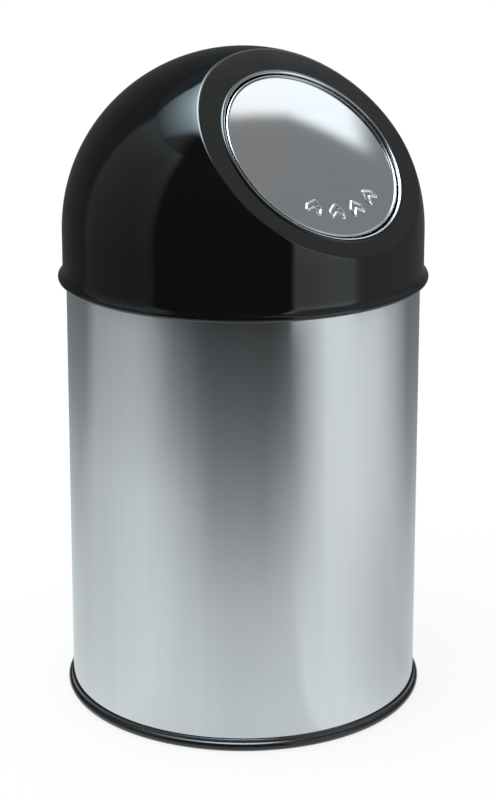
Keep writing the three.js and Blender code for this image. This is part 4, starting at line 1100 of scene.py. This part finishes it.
half = CURLS * CURL_PITCH / 2
leg_depth = CURL_RADIUS - HINGE_DEPTH
curls = []
for i in range(CURLS * CURL_STEPS + 1):
    angle = 2 * math.pi * i / CURL_STEPS
    up = HINGE_UP + CURL_RADIUS * math.sin(angle)
    out = CURL_RADIUS * math.cos(angle) - HINGE_DEPTH
    curls.append(Vector((-half + CURL_PITCH * i / CURL_STEPS, up, out)))
turning_path = [Vector((-half, HINGE_UP - down, leg_depth)) for down in TURNING_LEG]
turning_path += curls[:TURNING_STEPS]
resting_path = curls[RESTING_STEPS:]
resting_path.append(Vector((half, HINGE_UP + TURNING_LEG[-1], leg_depth)))
resting_path.append(Vector((half, HINGE_UP + RESTING_LEG, RESTING_DEPTH)))
for name, body, path, nodes in (
    ("spring_wound", "lid", resting_path, ["flap_spring"]),
    ("spring_leg", "flap", turning_path, []),
):
    spring_mesh = bmesh.new()
    wire_along(spring_mesh, path, [SPRING_WIRE] * len(path), sides=12)
    spring = finish_piece(name, spring_mesh, face_place, crease=60)
    settle(spring, body, "spring_steel", spring_steel, *nodes)

# %% [markdown]
# ## The floor and the light
# The bin stands on a plain white floor in even daylight. The world is plain white at strength 1, so a colour
# renders about as it is written, and one broad lamp above gives the faint shadow. The floor fades out where
# it would end, so no edge shows behind the bin.

# %% Helpers for the sheets of the studio
SHEET_SIDES = 96


def stage_disc(name, rings, turn_by=0.0):
    """A round sheet of the studio, from (radius, height) rings in metres, that is no part of the bin."""
    mesh = bmesh.new()
    turn(mesh, rings, SHEET_SIDES, closed=False)
    data = bpy.data.meshes.new(name)
    mesh.to_mesh(data)
    mesh.free()
    data.shade_smooth()
    sheet = bpy.data.objects.new(name, data)
    sheet.rotation_euler.z = turn_by
    scene.collection.objects.link(sheet)
    sheet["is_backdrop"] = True
    return sheet


def new_paint(name):
    """A material that starts empty, for a sheet of the studio."""
    paint = bpy.data.materials.new(name)
    paint.use_nodes = True
    paint.node_tree.nodes.clear()
    return paint, paint.node_tree


# %% The floor
FLOOR_PALE = (0.975, 0.975, 0.975, 1)
FLOOR_DEEP = (0.955, 0.955, 0.955, 1)
FLOOR_WHITE = 0.80
FADE_FROM = 1.2
FADE_TO = 3.0

floor = stage_disc("floor", [(radius, 0.0) for radius in (0.0, 0.2, 0.6, 1.4, 3.2)])
floor_paint, tree = new_paint("floor paint")
place = where_on(tree)
tint = blend_colours(tree, noise(tree, place, scale=6.0, detail=4.0)[0], FLOOR_DEEP, FLOOR_PALE)
matt = add(tree, "ShaderNodeBsdfDiffuse", {"Color": tint})
looked_at = add(tree, "ShaderNodeLightPath").outputs
seen = maths(tree, "ADD", looked_at["Is Camera Ray"], looked_at["Is Glossy Ray"], clamp=True)
seen = maths(tree, "ADD", seen, looked_at["Is Transmission Ray"], clamp=True)
white = add(tree, "ShaderNodeEmission", {"Color": (1, 1, 1, 1), "Strength": 1.0})
whitened = product(tree, seen, FLOOR_WHITE)
lit = add(tree, "ShaderNodeMixShader", {0: whitened, 1: matt.outputs[0], 2: white.outputs[0]})
clear = add(tree, "ShaderNodeBsdfTransparent")
fade = spread(tree, vector_maths(tree, "LENGTH", place), FADE_FROM, FADE_TO, 0.0, 1.0, smooth=True)
mixed = add(tree, "ShaderNodeMixShader", {0: fade, 1: lit.outputs[0], 2: clear.outputs[0]})
add(tree, "ShaderNodeOutputMaterial", {"Surface": mixed.outputs[0]})
floor.data.materials.append(floor_paint)
print("stage:", floor.name)

# %% The world and the lamp
LAMP_WIDTH = 1.6
LAMP_DEPTH = 1.0
LAMP_WATTS = 8.0
LAMP_PLACE = Vector((-0.7, 0.25, 2.0))
LAMP_AIM = Vector((0.0, 0.0, 0.2))

world = bpy.data.worlds.new("daylight")
scene.world = world
world.use_nodes = True
world.node_tree.nodes["Background"].inputs["Color"].default_value = (1, 1, 1, 1)
world.node_tree.nodes["Background"].inputs["Strength"].default_value = 1.0

lamp = bpy.data.objects.new("broad_lamp", bpy.data.lights.new("broad_lamp", "AREA"))
lamp.data.shape = "RECTANGLE"
lamp.data.size = LAMP_WIDTH
lamp.data.size_y = LAMP_DEPTH
lamp.data.energy = LAMP_WATTS
lamp.location = LAMP_PLACE
lamp.rotation_euler = (LAMP_AIM - LAMP_PLACE).to_track_quat("-Z", "Y").to_euler()
lamp.visible_glossy = False
scene.collection.objects.link(lamp)
scene.view_settings.view_transform = "Standard"
print("the lamp hangs", round(LAMP_PLACE.z, 2), "m above the floor")

# %% [markdown]
# ## What the metal mirrors
# Steel and enamel only show what stands round them. In a white room they would look flat, so a photographer
# sets up dark and grey screens: here a dark one in front, a grey one to the left, a bright open side to the
# right, a white card high on the right and a soft box overhead. They form a round tent that only mirror rays
# see, so it changes no other light. Each sheet of the tent is turned with the camera, so on it +X is the
# camera's right and +Y is away from it. Each tone depends on its direction from the bin, its height or its
# distance, and each of these is one ramp.

# %% Helpers for sheets that only mirror rays see
TENT_RADIUS = 1.5
TENT_HEIGHT = 2.1


def tent_sheet(name, rings, screen_name):
    """A sheet of the tent, turned with the camera, and an empty material with its place on the sheet."""
    sheet = stage_disc(name, rings, turn_by=-LOOK_FROM)
    sheet.visible_camera = False
    sheet.visible_diffuse = False
    sheet.visible_transmission = False
    sheet.visible_shadow = False
    sheet.visible_volume_scatter = False
    screen, tree = new_paint(screen_name)
    sheet.data.materials.append(screen)
    return sheet, tree, add(tree, "ShaderNodeSeparateXYZ", {0: where_on(tree)}).outputs


def glow(tree, parts, casts, strength):
    """Let a sheet glow, with a cast that changes from the camera's left to its right."""
    side = spread(tree, parts["X"], -0.2, 0.6, 0.0, 1.0, smooth=True)
    cast = blend_colours(tree, side, *casts)
    light = add(tree, "ShaderNodeEmission", {"Color": cast, "Strength": strength})
    add(tree, "ShaderNodeOutputMaterial", {"Surface": light.outputs[0]})


# %% Helpers for tones by direction and distance
def ramp(tree, value, low, high, stops):
    """A grey tone that follows a value through a list of (value, tone) stops."""
    made = add(tree, "ShaderNodeValToRGB", {0: spread(tree, value, low, high, 0.0, 1.0)})
    for i, (at, tone) in enumerate(stops):
        spot = (at - low) / (high - low)
        stop = made.color_ramp.elements[i] if i < 2 else made.color_ramp.elements.new(spot)
        stop.position = spot
        stop.color = (tone, tone, tone, 1)
    return made.outputs["Color"]


def by_direction(tree, parts, stops):
    """A tone by direction, in degrees from the camera's side towards its right."""
    turned_to = maths(tree, "ARCTAN2", parts["X"], product(tree, parts["Y"], -1.0))
    return ramp(tree, product(tree, turned_to, 180 / math.pi), -180, 180, stops)


def by_distance(tree, parts, stops):
    """A tone by distance from the middle of the tent."""
    squares = [product(tree, parts[key], parts[key]) for key in ("X", "Y")]
    distance = maths(tree, "SQRT", maths(tree, "ADD", squares[0], squares[1]))
    return ramp(tree, distance, 0.0, TENT_RADIUS, stops)


# %% Helpers for joining tones, and the white card
CARD_GREY = 0.40
CARD_GLOW = 1.60


def step_between(tree, amount, first, second):
    """One tone that gives way to another."""
    kept = product(tree, first, maths(tree, "SUBTRACT", 1.0, amount))
    return maths(tree, "ADD", kept, product(tree, second, amount))


def beyond_line(tree, parts, lean, start, low, high):
    """A mask that rises across a straight line on the tent: Y + lean * X + start."""
    leaning = product(tree, parts["X"], lean)
    distance = maths(tree, "ADD", maths(tree, "ADD", parts["Y"], leaning), start)
    return spread(tree, distance, low, high, 0.0, 1.0, smooth=True)


def white_card(tree, parts, shown=1.0):
    """The tone of the high screen on the right: grey, with a bright card where it is shown."""
    far_side = beyond_line(tree, parts, lean=-1.1, start=0.785, low=-0.03, high=0.12)
    right_side = spread(tree, parts["X"], 0.55, 0.80, 0.0, 1.0, smooth=True)
    return maths(tree, "ADD", product(tree, far_side, right_side, shown, CARD_GLOW), CARD_GREY)


# %% The tent's wall
WALL_LIFT = 3.9
WALL_CASTS = ((0.90, 1.0, 1.08, 1), (0.92, 1.0, 1.05, 1))

wall_rings = [(TENT_RADIUS, TENT_HEIGHT * i / 3) for i in range(4)]
wall, tree, parts = tent_sheet("tent_wall", wall_rings, "wall screens")
tone = by_direction(tree, parts, [
    (-180, 0.10), (-152, 0.09), (-114, 0.08), (-109.5, 0.14), (-68, 0.13), (-62, 0.155), (-56, 0.13),
    (-53, 0.008), (28, 0.008), (30.5, 0.70), (40, 0.76), (54, 0.90), (69, 0.88), (72, 0.52), (77, 0.36),
    (94, 0.29), (112, 0.21), (130, 0.14), (180, 0.10),
])
lifted = by_direction(tree, parts, [(-114, 0.0), (-109.5, 1.0), (66, 1.0), (73, 0.0)])
lift = ramp(tree, parts["Z"], 0.0, TENT_HEIGHT, [
    (0.0, 0.0), (0.2, 0.05), (0.6, 0.14), (1.0, 0.24), (1.4, 0.35), (1.7, 0.52), (1.9, 0.76), (2.1, 1.0),
])
rise = maths(tree, "ADD", product(tree, lift, WALL_LIFT, lifted), 1.0)
high_up = spread(tree, parts["Z"], 0.7, 1.25, 0.0, 1.0, smooth=True)
on_right = spread(tree, parts["X"], 0.6, 1.0, 0.0, 1.0, smooth=True)
card_foot = spread(tree, parts["Z"], 1.46, 1.66, 0.0, 1.0, smooth=True)
high_screen = product(tree, high_up, on_right)
strength = step_between(tree, high_screen, product(tree, tone, rise), white_card(tree, parts, card_foot))
glow(tree, parts, WALL_CASTS, strength)
print("stage:", wall.name)

# %% The tent's floor, in three rings of painted light and shade
FLOOR_GAP = 0.001
FLOOR_CASTS = ((0.95, 1.0, 1.03, 1), (0.96, 1.0, 1.02, 1))

floor_rings = [(radius, FLOOR_GAP) for radius in (0.158, 0.5, 1.0, TENT_RADIUS)]
floor_shade, tree, parts = tent_sheet("tent_floor", floor_rings, "floor screens")
# Painted light and shade: the floor as the metal mirrors it, darker where the bin's own shade lies, and
# darker further out where the pool of light ends.
near_tone = by_direction(tree, parts, [
    (-180, 0.66), (-130, 0.74), (-100, 0.77), (-48, 0.97), (-6, 0.80), (12, 0.81), (26, 0.84), (30, 1.0),
    (46, 0.99), (66, 0.81), (90, 0.66), (180, 0.62),
])
middle_tone = by_direction(tree, parts, [
    (-180, 0.42), (-122, 0.48), (-104, 0.68), (-60, 0.86), (-42, 0.72), (-18, 0.38), (12, 0.35), (30, 0.52),
    (50, 0.97), (68, 0.98), (96, 0.77), (126, 0.40), (180, 0.34),
])
far_tone = by_direction(tree, parts, [
    (-180, 0.20), (-116, 0.21), (-104, 0.46), (-72, 0.58), (-56, 0.47), (-42, 0.22), (-24, 0.09), (16, 0.075),
    (28, 0.12), (42, 0.60), (52, 0.97), (66, 1.0), (90, 0.86), (112, 0.48), (126, 0.22), (180, 0.18),
])
past_near = by_distance(tree, parts, [(0.22, 0.0), (0.35, 0.2), (0.45, 0.38), (0.55, 0.65), (0.7, 1.0)])
past_middle = by_distance(tree, parts, [(0.7, 0.0), (0.9, 0.5), (1.1, 0.8), (1.35, 1.0)])
inner = step_between(tree, past_near, near_tone, middle_tone)
strength = step_between(tree, past_middle, inner, far_tone)
glow(tree, parts, FLOOR_CASTS, strength)
print("stage:", floor_shade.name)

# %% The tent's roof, with a soft box
BOX_POWER = 20.0
ROOF_CASTS = ((0.78, 1.0, 1.14, 1), (0.97, 1.0, 1.02, 1))

roof_rings = [(radius, TENT_HEIGHT) for radius in (0.0, 0.5, 1.0, TENT_RADIUS)]
roof, tree, parts = tent_sheet("tent_roof", roof_rings, "roof screens")
plain_tone = by_direction(tree, parts, [
    (-180, 0.17), (-114, 0.16), (-110, 0.45), (-66, 0.40), (-60, 0.17), (-54, 0.008), (28, 0.008), (40, 0.30),
    (150, 0.30), (180, 0.17),
])
falling = by_distance(tree, parts, [
    (0.0, 1.0), (0.35, 0.9), (0.5, 0.55), (0.65, 0.365), (0.8, 0.245), (0.95, 0.165), (1.1, 0.105),
    (1.25, 0.068), (1.4, 0.038), (1.5, 0.025),
])
front_edge = beyond_line(tree, parts, lean=0.3, start=0.646, low=-0.13, high=0.12)
past_back = beyond_line(tree, parts, lean=-0.236, start=-0.95, low=-0.015, high=0.01)
back_edge = maths(tree, "SUBTRACT", 1.0, past_back)
right_edge = spread(tree, parts["X"], 0.15, 0.75, 1.0, 0.0, smooth=True)
box = product(tree, front_edge, back_edge, right_edge)
box_tone = product(tree, falling, BOX_POWER, box)
card_tone = product(tree, white_card(tree, parts), spread(tree, parts["X"], 0.6, 0.9, 0.0, 1.0))
strength = maths(tree, "MAXIMUM", maths(tree, "MAXIMUM", plain_tone, box_tone), card_tone)
glow(tree, parts, ROOF_CASTS, strength)
print("stage:", roof.name)

# %% [markdown]
# ## Measure and finish
# The dressed bin must be the size of the measured one, so both boxes are written down side by side.

# %% Compare the sizes and finish
bpy.context.view_layer.update()
dressed_box = [list(corner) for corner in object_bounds()]
for label, corners in (("frame", frame_box), ("dressed", dressed_box)):
    print(label, [[round(value, 4) for value in corner] for corner in corners])
